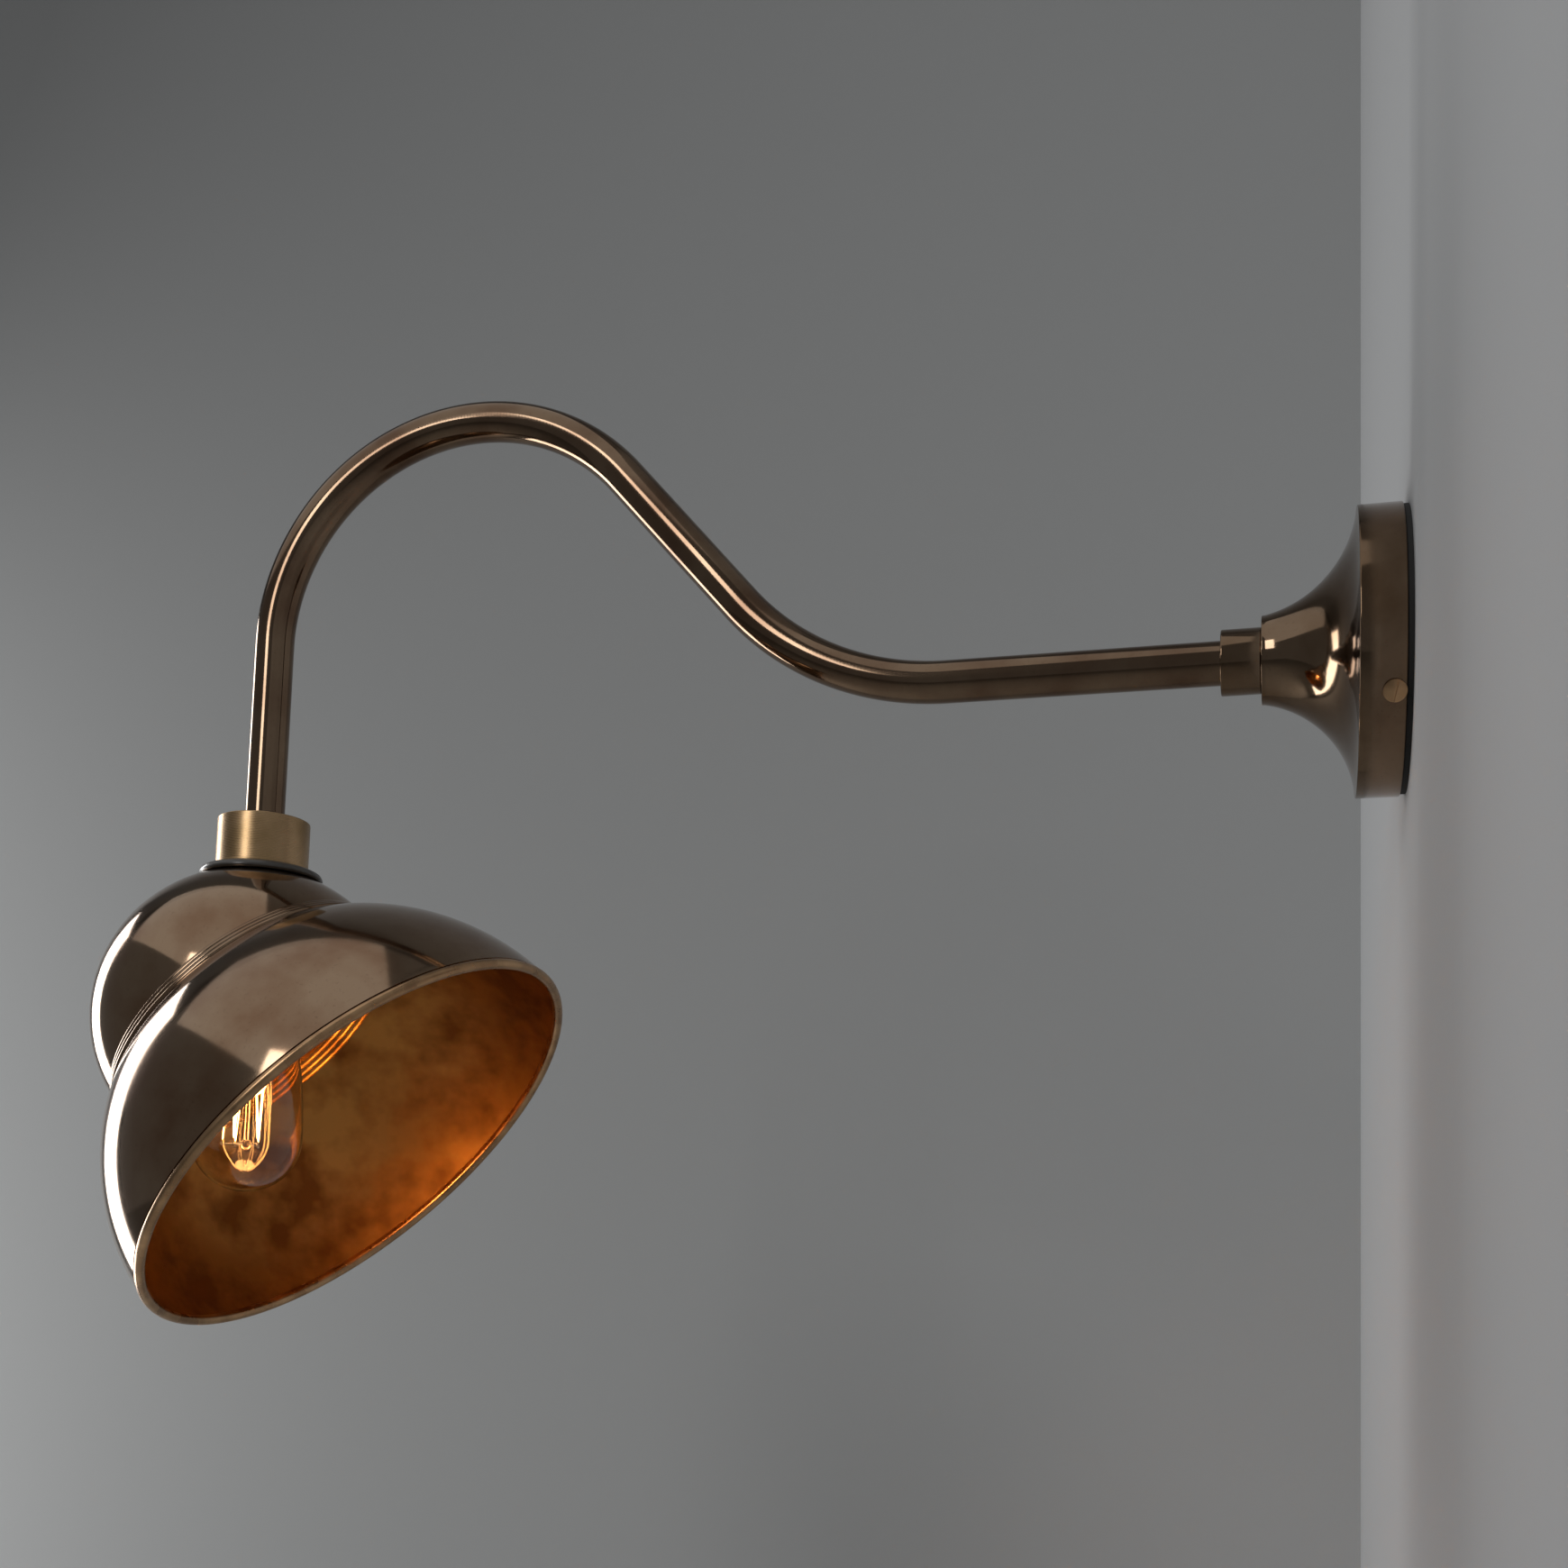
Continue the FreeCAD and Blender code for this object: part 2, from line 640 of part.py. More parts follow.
def arm_fixings():
    """Washer, nut, threaded pipe and turned collar that hold the arm on the rose."""
    node(ring("washer", "pipe_radius + hole_gap", "pipe_radius + washer_width", "washer_start",
              "washer_start + washer_thickness"), "arm_washer", "wall")
    node(hex_nut("locknut", "nut_start"), "arm_locknut", "wall")
    node(ring("wall_pipe", "pipe_bore", "pipe_radius", "wall_pipe_end - wall_pipe_length",
              "wall_pipe_end"), "arm_pipe", "wall")
    collar = turned("collar", [
        ("pipe_radius + thread_gap", "collar_start"),
        ("collar_radius - collar_bevel", "collar_start"),
        ("collar_radius", "collar_start + collar_bevel"),
        ("collar_radius", "collar_end - collar_bevel"),
        ("collar_radius - collar_bevel", "collar_end"),
        ("tube_radius + thread_gap", "collar_end"),
        ("tube_radius + thread_gap", "socket_start"),
        ("pipe_radius + thread_gap", "socket_start"),
    ])
    node(collar, "arm_collar", "wall")


def gooseneck_tube():
    """One brass tube: level run, lower bend, rise, upper bend and drop."""
    body = doc.addObject("PartDesign::Body", "gooseneck")
    path = outline(body, "XZ_Plane", [
        ("-tube_start", 0),
        ("-lower_bend_start", 0, "lower_bend_radius", -1),
        ("-rise_start", "rise_foot"),
        ("-rise_end", "rise_top", "upper_bend_radius", 1),
        ("-lamp_reach", "drop_top"),
        ("-lamp_reach", "tube_end"),
    ], closed=False)
    section = body.newObject("Sketcher::SketchObject", "gooseneck_section")
    section.AttachmentSupport = [(plane(body, "YZ_Plane"), "")]
    section.MapMode = "FlatFace"
    section.Visibility = False
    section.setExpression("AttachmentOffset.Base.z", bound("-tube_start"))
    for radius in ("tube_radius", "tube_bore"):
        edge = section.addGeometry(Part.Circle(Vector(0, 0, 0), Vector(0, 0, 1), number(radius)), False)
        tie(section, "Coincident", edge, 3, -1, 1)
        tie(section, "Radius", edge, value=radius)
    doc.recompute()
    pipe = body.newObject("PartDesign::AdditivePipe", "gooseneck_pipe")
    pipe.Profile = section
    pipe.Spine = (path, ["Edge%d" % (index + 1) for index in range(path.GeometryCount)])
    node(body, "gooseneck_tube", "arm")


def lamp_end_fittings():
    """Bush in the tube's lower end, threaded pipe and the nut inside the cap."""
    node(ring("bush", "pipe_radius + thread_gap", "tube_bore - thread_gap", "-bush_length", 0),
         "tube_end_bush", "lamp")
    node(ring("lamp_pipe_bar", "pipe_bore", "pipe_radius", "-lamp_pipe_rise", "lamp_pipe_drop"),
         "lamp_pipe", "lamp")
    node(hex_nut("cap_nut", "cap_top + face_gap"), "cap_locknut", "lamp")


# ---------------------------------------------------------------- wires

class Route:
    """A line of straight runs and tangent arcs."""

    def __init__(self, point, way):
        self.point = point
        self.way = way
        self.edges = []

    def straight(self, length):
        """Goes on straight."""
        end = self.point + self.way * length
        self.edges.append(Part.LineSegment(self.point, end).toShape())
        self.point = end

    def bend(self, towards, radius, angle):
        """Turns towards a side, which is square to the way."""
        centre = self.point + towards * radius

        def on_arc(degrees):
            swing = math.radians(degrees)
            return centre + (self.way * math.sin(swing) - towards * math.cos(swing)) * radius

        end = on_arc(angle)
        self.edges.append(Part.Arc(self.point, on_arc(angle / 2), end).toShape())
        swing = math.radians(angle)
        self.way = self.way * math.cos(swing) + towards * math.sin(swing)
        self.point = end

    def side_step(self, run, shift):
        """Two equal arcs that move the line aside by a vector over a run."""
        aside = shift.Length
        angle = math.degrees(2 * math.atan(aside / run))
        radius = (run ** 2 + aside ** 2) / (4 * aside)
        way = self.way
        outward = shift * (1 / aside)
        self.bend(outward, radius, angle)
        swing = math.radians(angle)
        self.bend(way * math.sin(swing) - outward * math.cos(swing), radius, angle)
        print("side step radius %.1f mm" % radius)


def wire(label, angle, block_side):
    """One insulated wire from the wall end, through the tube, to its post in the lampholder.

    The angle is the wire's place about the tube's centre line, the same as its post's. The
    side is the block's way that it ends in, or 0 for the wire under the earth screw.
    """
    unroll = FreeCAD.Rotation(Vector(1, 0, 0), -number("arm_roll"))
    down = unroll.multVec(Vector(0, 0, -1))
    across = unroll.multVec(Vector(0, 1, 0))
    outward = Vector(math.cos(math.radians(angle)), -math.sin(math.radians(angle)), 0)
    inward = outward.x * number("wire_ring")
    aside = outward.y * number("wire_ring")
    start = Vector(-number("block_axis + wire_turn"), aside, -inward)

    wall = Route(start, Vector(1, 0, 0))
    if block_side:
        wall.bend(down, number("wire_turn"), 90)
        shift = block_side * number("terminal_pitch / 2") - wall.point.dot(across)
        wall.side_step(number("block_drop") - wall.point.dot(down), across * shift)
        wall.straight(number("wire_grip"))
    else:
        wall.bend(down * -1, number("wire_turn + block_axis - wire_at_earth"), 90)
        wall.straight(number("earth_screw_height + earth_washer_radius") + wall.point.dot(down))

    lamp = Route(start, Vector(-1, 0, 0))
    lamp.straight(number("lower_bend_start - block_axis - wire_turn"))
    lamp.bend(Vector(0, 0, 1), number("lower_bend_radius") + inward, number("rise_angle"))
    lamp.straight(number("rise_length"))
    under = lamp.way.cross(Vector(0, 1, 0))
    lamp.bend(under, number("upper_bend_radius") - inward, number("rise_angle + 90"))
    lamp.straight(number("drop_length + wire_fan_start"))
    lamp.side_step(number("wire_fan_length"), outward * number("post_ring - wire_ring"))
    lamp.straight(number("post_start + post_grip - wire_fan_start - wire_fan_length"))

    path = Part.Wire(wall.edges[::-1] + lamp.edges)
    end = Part.makeCircle(number("wire_radius"), wall.point, wall.way)
    bar = path.makePipeShell([Part.Wire(end)], True, False)
    plain = math.pi * number("wire_radius") ** 2 * path.Length
    print("%s length %.0f mm, volume %.4f of its section times its length"
          % (label, path.Length, bar.Volume / plain))
    piece = doc.addObject("Part::Feature", label + "_bar")
    piece.Shape = bar
    node(piece, label, "arm")


def wires():
    """Live, neutral and earth wires."""
    for index, (label, block_side) in enumerate((("live_wire", -1), ("earth_wire", 0),
                                                 ("neutral_wire", 1))):
        wire(label, number("post_angle + %d * 360 / posts" % index), block_side)


# ---------------------------------------------------------------- lampholder

def lampholder_cap():
    """Satin brass cup that covers the wiring, with a thin lip."""
    node(turned("cap", [
        ("pipe_radius + hole_gap", 0),
        ("cap_radius - cap_bevel", 0),
        ("cap_radius", "cap_bevel"),
        ("cap_radius", "cap_length - cap_lip_height"),
        ("cap_radius + cap_lip", "cap_length - cap_lip_height"),
        ("cap_radius + cap_lip", "cap_length"),
        ("holder_thread", "cap_length"),
        ("holder_thread", "cap_top"),
        ("pipe_radius + hole_gap", "cap_top"),
    ]), "lampholder_cap", "lamp")


def lampholder_flange():
    """Black ring nut above the shade, with a sloping top and a rounded edge."""
    node(turned("flange", [
        ("holder_thread", "flange_start"),
        ("flange_top_radius", "flange_start"),
        ("flange_radius - 0.5 * flange_edge", "flange_end - 2 * flange_edge", "flange_edge", -1),
        ("flange_radius", "flange_end - flange_edge"),
        ("flange_radius", "flange_end - 0.5 * flange_edge"),
        ("flange_radius - 0.5 * flange_edge", "flange_end"),
        ("holder_thread", "flange_end"),
    ]), "lampholder_flange", "lamp")


def lampholder_sleeve():
    """Moulded black sleeve that carries both ring nuts and surrounds the bulb's cap."""
    node(turned("sleeve", [
        ("sleeve_bore", "sleeve_start"),
        ("sleeve_radius", "sleeve_start"),
        ("sleeve_radius", "sleeve_thread_end"),
        ("sleeve_nose_radius", "sleeve_thread_end"),
        ("sleeve_nose_radius", "sleeve_end"),
        ("sleeve_bore", "sleeve_end"),
    ]), "lampholder_sleeve", "lamp")


def shade_clamp_ring():
    """Notched ring nut that clamps the shade from below."""
    blank = ring("clamp_ring", "holder_thread", "clamp_ring_radius", "clamp_ring_start", "clamp_ring_end")
    notches = []
    for index in range(int(number("clamp_notches"))):
        place = spot("clamp_ring_radius - clamp_notch_depth", "-clamp_notch_width / 2",
                     "clamp_ring_start - overcut")
        notches.append(box("2 * clamp_notch_depth", "clamp_notch_width",
                           "clamp_ring_height + 2 * overcut",
                           around("%d * 360 / clamp_notches" % index, place)))
    node(cut("clamp_ring_notched", blank, notches), "shade_clamp_ring", "lamp")


def lampholder_insulator():
    """Ceramic disc that carries the contacts."""
    node(ring("insulator", 0, "sleeve_bore - face_gap", "insulator_start", "insulator_end"),
         "lampholder_insulator", "lamp")


def holder_terminals():
    """Brass posts on the ceramic disc, each with a radial clamp screw."""
    posts = []
    screws = []
    for index in range(int(number("posts"))):
        way = "post_angle + %d * 360 / posts" % index
        post = cylinder("post_radius", "post_height - face_gap",
                        around(way, spot("post_ring", 0, "post_start")))
        wire_hole = cylinder("wire_radius + wire_play", "post_grip + 2 * overcut",
                             around(way, spot("post_ring", 0, "post_start - overcut")))
        middle = "post_start + post_grip / 2"
        screw_hole = cylinder("post_screw_radius + thread_gap", "2 * post_radius",
                              around(way, spot("post_ring", 0, middle, turn("y", 90))))
        posts.append(cut("post_%d" % index, post, [wire_hole, screw_hole]))
        foot = spot("post_ring + wire_radius + face_gap", 0, middle, turn("y", 90))
        screws.append(grub_screw("post_screw_%d" % index, "post_screw_radius",
                                 "post_screw_length", around(way, foot)))
    node(group("posts_set", posts), "holder_terminals", "lamp")
    node(group("post_screws_set", screws), "holder_terminal_screws", "lamp")


def ripple(inside, grooves, start, count):
    """Corners of a thread's ring grooves, going down from a start."""
    corners = []
    for index in range(count):
        foot = "%s + %d * thread_pitch" % (start, index)
        corners.append((inside, foot))
        for way in ("thread_flank", "(1 - thread_flank)"):
            corners.append(("%s + %s" % (inside, grooves), "%s + %s * thread_pitch" % (foot, way)))
    corners.append((inside, "%s + %d * thread_pitch" % (start, count)))
    return corners


def screw_shell():
    """Thin brass shell with a rolled thread, on the ceramic disc."""
    threads = int(number("shell_threads"))
    inner = ripple("shell_bore", "shell_groove", "shell_start + shell_wall", threads)
    outer = ripple("shell_bore + shell_wall", "shell_groove", "shell_start + shell_wall", threads)
    node(turned("shell", [("shell_bore - shell_flange_width", "shell_start")]
                + [("shell_bore + shell_wall", "shell_start")]
                + outer + inner[::-1]
                + [("shell_bore - shell_flange_width", "shell_start + shell_wall")]),
         "screw_shell", "lamp")


def centre_contact():
    """Sprung brass tongue under the bulb's tip."""
    body = doc.addObject("PartDesign::Body", "tongue")
    sketch = outline(body, "XZ_Plane", [
        ("-contact_back", "shell_start"),
        ("contact_foot - contact_back", "shell_start"),
        ("contact_reach - contact_pad", "contact_tip - contact_thickness"),
        ("contact_reach", "contact_tip - contact_thickness"),
        ("contact_reach", "contact_tip"),
        ("contact_reach - contact_pad - contact_skew", "contact_tip"),
        ("contact_foot - contact_back - contact_skew", "shell_start + contact_thickness"),
        ("-contact_back", "shell_start + contact_thickness"),
    ])
    pad = body.newObject("PartDesign::Pad", "tongue_pad")
    pad.Profile = sketch
    pad.Midplane = True
    bind(pad, Length="contact_width")
    node(body, "centre_contact", "lamp")


# ---------------------------------------------------------------- shade

def lamp_shade():
    """Spun brass shade: small dome, stepped waist, wide bowl and a rolled rim."""
    steps = int(number("waist_steps"))
    outside = [(0, "-dome_radius", "dome_radius", 1)]
    for index in range(steps):
        outside.append(("waist_small + %d * waist_growth" % index,
                        "waist_start + %d * waist_step" % index, "waist_bead", 1))
    outside.append(("waist_large", "waist_end", "bowl_radius", 1))
    outside.append(("rim_outside", "rim_depth"))
    inner_bowl = "(bowl_radius - shade_wall)"
    inner_dome = "(dome_radius - shade_wall)"
    inside = [
        ("sqrt(%s^2 - (bowl_middle - rim_depth)^2)" % inner_bowl, "rim_depth", inner_bowl, -1),
        ("sqrt(%s^2 - (bowl_middle - waist_end)^2)" % inner_bowl, "waist_end"),
        ("sqrt(%s^2 - waist_start^2)" % inner_dome, "waist_start", inner_dome, -1),
        (0, "-%s" % inner_dome),
    ]
    shell = turned("shade_shell", outside + inside)
    bead = doc.addObject("Part::Torus", "shade_bead")
    bind(bead, Radius1="rim_ring", Radius2="rim_bead", Placement=spot(z="rim_depth"))
    up = spot(turned_by=turn("y", "shade_tilt - 180")) + " * "
    beyond = cylinder("dome_radius", "dome_radius", up + spot(z="seat_height"))
    seat = cylinder("seat_radius", "shade_wall", up + spot(z="seat_height - shade_wall"))
    hole = cylinder("shade_hole", "6 * shade_wall", up + spot(z="seat_height - 3 * shade_wall"))
    trimmed = cut("shade_trimmed", shell, [beyond])
    node(cut("shade_holed", fused("shade_joined", [trimmed, bead, seat]), [hole]), "lamp_shade", "shade")


# ---------------------------------------------------------------- bulb

def bulb_base():
    """Solder tip, black insulator and threaded cap."""
    node(ring("tip", 0, "bulb_tip_radius", "bulb_top", "bulb_tip_end"), "bulb_cap_contact", "lamp")
    plug = "bulb_cap_bore - face_gap"
    node(turned("plug", [
        (0, "bulb_tip_end"),
        ("bulb_tip_radius", "bulb_tip_end"),
        (plug, "bulb_cap_start"),
        (plug, "bulb_cap_start + bulb_plug_height"),
        (0, "bulb_cap_start + bulb_plug_height"),
    ]), "bulb_cap_insulator", "lamp")
    threads = ripple("bulb_thread_root", "bulb_thread_depth", "bulb_cap_start + bulb_thread_lead",
                     int(number("bulb_threads")))
    node(turned("screw_cap", [("bulb_cap_bore", "bulb_cap_start")] + threads + [
        ("bulb_cap_radius", "bulb_skirt_start - bulb_skirt_step"),
        ("bulb_cap_radius", "bulb_cap_end"),
        ("bulb_skirt_bore", "bulb_cap_end"),
        ("bulb_skirt_bore", "bulb_skirt_start - face_gap"),
        ("bulb_cap_bore", "bulb_skirt_start - face_gap"),
    ]), "bulb_cap", "lamp")


def bulb_glass():
    """Clear pear shaped envelope, one wall thick."""
    inner_side = "(bulb_side_radius - glass_wall)"
    share = "bulb_side_radius / curve_span"
    inner_share = "%s / curve_span" % inner_side
    node(turned("glass", [
        ("neck_bore", "bulb_skirt_start"),
        ("neck_radius", "bulb_skirt_start"),
        ("neck_radius", "bulb_cap_end", "bulb_neck_curve", -1),
        ("side_middle + (curve_span - bulb_growth) * %s" % share,
         "bulb_widest - bulb_side_length * %s" % share, "bulb_side_radius", 1),
        ("bulb_radius", "bulb_widest", "bulb_radius", 1),
        (0, "bulb_bottom"),
        (0, "bulb_bottom - glass_wall", "bulb_radius - glass_wall", -1),
        ("bulb_radius - glass_wall", "bulb_widest", inner_side, -1),
        ("side_middle + (curve_span - bulb_growth) * %s" % inner_share,
         "bulb_widest - bulb_side_length * %s" % inner_share, "bulb_neck_curve + glass_wall", 1),
        ("neck_bore", "bulb_cap_end"),
    ]), "bulb_glass", "lamp")


def bulb_stem():
    """Flared glass foot, stem and rod with a bead, sealed in the neck."""
    foot = "bulb_skirt_start + glass_wall"
    node(turned("stem", [
        (0, foot),
        ("neck_bore - face_gap", foot),
        ("neck_bore - face_gap", "%s + glass_wall" % foot, "stem_flare_end - (%s)" % foot, -1),
        ("stem_radius", "stem_flare_end"),
        ("stem_radius", "stem_end"),
        ("rod_radius", "stem_end + stem_radius"),
        ("rod_radius", "filament_bottom - sqrt(bead_radius^2 - rod_radius^2)", "bead_radius", 1),
        (0, "filament_bottom + bead_radius"),
    ]), "bulb_stem", "lamp")


def strand_end(index):
    """Angle, ring radius and height of one corner of the zigzag, which leaves two strands' width open."""
    angle = math.radians(index * 360 / (number("filament_strands") + 2))
    level = "bottom" if index % 2 else "top"
    return angle, number("filament_%s_ring" % level), number("filament_%s" % level)


def filament_parts():
    """Zigzag cage of one long filament, and the wires that hold its corners."""
    corners = []
    supports = []
    for index in range(int(number("filament_strands")) + 1):
        angle, radius, height = strand_end(index)
        way = Vector(math.cos(angle), math.sin(angle), 0)
        corners.append(way * radius + Vector(0, 0, height))
        inner = number("bead_radius" if index % 2 else "stem_radius") + number("face_gap")
        outer = radius - number("filament_radius + face_gap")
        supports.append(Part.makeCylinder(number("support_radius"), outer - inner,
                                          way * inner + Vector(0, 0, height), way))
    thickness = number("filament_radius")
    strand = Part.makeSphere(thickness, corners[0])
    for start, end in zip(corners, corners[1:]):
        bar = Part.makeCylinder(thickness, (end - start).Length, start, end - start)
        strand = strand.fuse([bar, Part.makeSphere(thickness, end)])
    for label, shape in (("filament", strand), ("filament_supports", Part.makeCompound(supports))):
        piece = doc.addObject("Part::Feature", label + "_wire")
        piece.Shape = shape
        node(piece, label, "lamp")


# ---------------------------------------------------------------- build

for build in (wall_gasket, mounting_plate, wall_rose, rose_side_screws, earth_terminal,
              terminal_block, arm_fixings, gooseneck_tube, lamp_end_fittings, wires,
              lampholder_cap, lampholder_flange, lampholder_sleeve, shade_clamp_ring,
              lampholder_insulator, holder_terminals, screw_shell, centre_contact, lamp_shade,
              bulb_base, bulb_glass, bulb_stem, filament_parts):
    build()
    doc.recompute()

for item in doc.Objects:
    if "Invalid" in item.State or "Error" in item.State:
        raise RuntimeError("%s could not be built" % item.Name)

for piece in NODES:
    shape = piece.Shape
    if shape.isNull() or not shape.isValid() or not shape.Solids:
        raise RuntimeError("%s has no valid solid" % piece.Label)
    shape.exportStep("parts/%s.step" % piece.Label)
    print("%-24s %2d solids %10.1f mm3" % (piece.Label, len(shape.Solids), shape.Volume))
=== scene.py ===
import math

import bmesh
import bpy
import numpy as np
from mathutils import Euler, Matrix, Vector


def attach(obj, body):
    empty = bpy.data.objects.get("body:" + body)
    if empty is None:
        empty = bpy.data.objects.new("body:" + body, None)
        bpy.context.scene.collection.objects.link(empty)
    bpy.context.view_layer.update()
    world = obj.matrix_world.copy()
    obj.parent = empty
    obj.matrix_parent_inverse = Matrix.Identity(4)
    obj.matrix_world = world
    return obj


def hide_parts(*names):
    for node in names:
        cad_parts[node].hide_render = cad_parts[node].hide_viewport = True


# Gooseneck wall sconce: antique brass arm and shade, clear squirrel cage bulb.
# Lengths below are millimetres in the part's own frame and become metres in the meshes.
# The wall is X = 0, the arm leaves it along -X, and Z is up.

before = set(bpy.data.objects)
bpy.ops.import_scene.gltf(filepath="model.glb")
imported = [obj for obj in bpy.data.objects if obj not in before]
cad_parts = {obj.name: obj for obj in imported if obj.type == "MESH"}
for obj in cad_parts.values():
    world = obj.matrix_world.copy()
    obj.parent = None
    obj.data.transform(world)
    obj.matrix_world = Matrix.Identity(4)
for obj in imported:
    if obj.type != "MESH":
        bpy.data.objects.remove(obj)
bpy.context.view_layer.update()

MM = 0.001


# ---------------------------------------------------------------- where things are

ARM_ROLL = -6
SHADE_TILT = 135
LEVEL_START, LEVEL_END = 62.8, 195.0
LOWER_BEND, UPPER_BEND = 130.0, 105.0
RISE_ANGLE = math.radians(48.5)
RISE, DROP = 90.0, 90.0
SEAT_START = 29.2       # from the tube's lower end down to the shade's seat, under the flange
SEAT_HEIGHT = 70.0      # from there down to the middle of the shade's dome


def turned_by(axis, degrees):
    """A 3 x 3 rotation about X, Y or Z."""
    return np.array(Matrix.Rotation(math.radians(degrees), 3, axis))


def gooseneck_path():
    """Points (x, 0, z) of the tube's middle line: level, arc, rise, arc over the top, drop."""
    level = np.stack([-np.linspace(LEVEL_START, LEVEL_END, 24), np.zeros(24)], axis=1)
    angle = np.linspace(0, RISE_ANGLE, 40)[1:]
    lower = level[-1] + LOWER_BEND * np.stack([-np.sin(angle), 1 - np.cos(angle)], axis=1)
    way = np.array([-math.cos(RISE_ANGLE), math.sin(RISE_ANGLE)])
    rise = lower[-1] + way * np.linspace(0, RISE, 16)[1:, None]
    middle = rise[-1] + UPPER_BEND * np.array([-way[1], way[0]])
    angle = np.linspace(math.pi / 2 - RISE_ANGLE, math.pi, 90)[1:]
    upper = middle + UPPER_BEND * np.stack([np.cos(angle), np.sin(angle)], axis=1)
    drop = upper[-1] + np.array([0, -1]) * np.linspace(0, DROP, 16)[1:, None]
    line = np.concatenate([level, lower, rise, upper, drop])
    return np.stack([line[:, 0], np.zeros(len(line)), line[:, 1]], axis=1)


def placed(points, place):
    """Points carried from a local frame into the part's frame."""
    rotation, origin = place
    return points @ rotation.T + origin


# (rotation, origin): wall pieces measure height from the wall, lamp pieces measure it down from
# the tube's lower end, and the shade measures it towards its rim from the small dome's middle
WALL = (turned_by("Y", -90), np.zeros(3))
ARM = (turned_by("X", ARM_ROLL), np.zeros(3))
LAMP = (turned_by("X", 180 + ARM_ROLL), placed(gooseneck_path()[-1], ARM))
SHADE = (turned_by("X", ARM_ROLL) @ turned_by("Y", SHADE_TILT),
         placed(np.array([0, 0, SEAT_START + SEAT_HEIGHT]), LAMP))


# ---------------------------------------------------------------- profiles and surfaces

TURN_STEPS = 192
SHARP = 0.0     # a profile corner with no easing


def bow(start, end, radius, side, count):
    """Points of the short arc between two (radius, height) points, with no easing.

    The arc's middle lies to the left (1) or right (-1) of the way from start to end, at
    sqrt(radius^2 - half chord^2) from the chord.
    """
    start, end = np.array(start, float), np.array(end, float)
    chord = end - start
    half = np.hypot(*chord) / 2
    left = np.array([-chord[1], chord[0]]) / (2 * half) * side
    middle = (start + end) / 2 + left * math.sqrt(radius ** 2 - half ** 2)
    first = math.atan2(*(start - middle)[::-1])
    swing = math.atan2(*(end - middle)[::-1]) - first
    swing = (swing + math.pi) % (2 * math.pi) - math.pi
    angle = first + swing * np.linspace(0, 1, count)
    return np.stack([middle[0] + radius * np.cos(angle),
                     middle[1] + radius * np.sin(angle),
                     np.full(count, SHARP)], axis=1)


def eased(*parts, steps=6):
    """A closed profile with rounded corners, from corners (radius, height, ease).

    Each corner C becomes a parabola from A to B, the points that lie its ease along both
    edges: (1 - t)^2 A + 2 t (1 - t) C + t^2 B.
    """
    table = np.vstack([np.atleast_2d(part) for part in parts]).astype(float)
    corner = table[:, :2]
    ease = table[:, 2:3]

    def along(neighbour):
        way = neighbour - corner
        length = np.maximum(np.linalg.norm(way, axis=1, keepdims=True), 1e-9)
        return corner + way / length * np.minimum(ease, 0.45 * length)

    before = along(np.roll(corner, 1, axis=0))[:, None]
    after = along(np.roll(corner, -1, axis=0))[:, None]
    t = np.linspace(0, 1, steps)[None, :, None]
    curve = (1 - t) ** 2 * before + 2 * t * (1 - t) * corner[:, None] + t ** 2 * after
    return curve.reshape(-1, 2)


def spun(profile, place, steps=TURN_STEPS):
    """Rings of a profile turned about Z: (r cos a, r sin a, height)."""
    angle = np.linspace(0, 2 * np.pi, steps, endpoint=False)
    radius, height = profile[:, 0, None], profile[:, 1, None]
    rings = np.stack([radius * np.cos(angle), radius * np.sin(angle),
                      height + 0 * angle], axis=2)
    return placed(rings, place)


def tube(path, side, radius, place, steps):
    """Rings of a round bar along a path, with both ends drawn in to a pole.

    Each ring lies in the plane of the path's normal n and binormal b: p + r (cos a n + sin a b),
    where b is the side made square to the path's tangent and n = b x tangent.
    """
    tangent = np.gradient(path, axis=0)
    tangent /= np.linalg.norm(tangent, axis=1, keepdims=True)
    side = np.broadcast_to(side, path.shape)
    binormal = side - tangent * np.sum(side * tangent, axis=1, keepdims=True)
    binormal /= np.linalg.norm(binormal, axis=1, keepdims=True)
    normal = np.cross(binormal, tangent)
    angle = np.linspace(0, 2 * np.pi, steps, endpoint=False)[None, :, None]
    rings = path[:, None] + radius * (np.cos(angle) * normal[:, None]
                                      + np.sin(angle) * binormal[:, None])
    first = np.repeat(path[:1, None], steps, axis=1)
    last = np.repeat(path[-1:, None], steps, axis=1)
    return placed(np.concatenate([first, rings, last]), place)


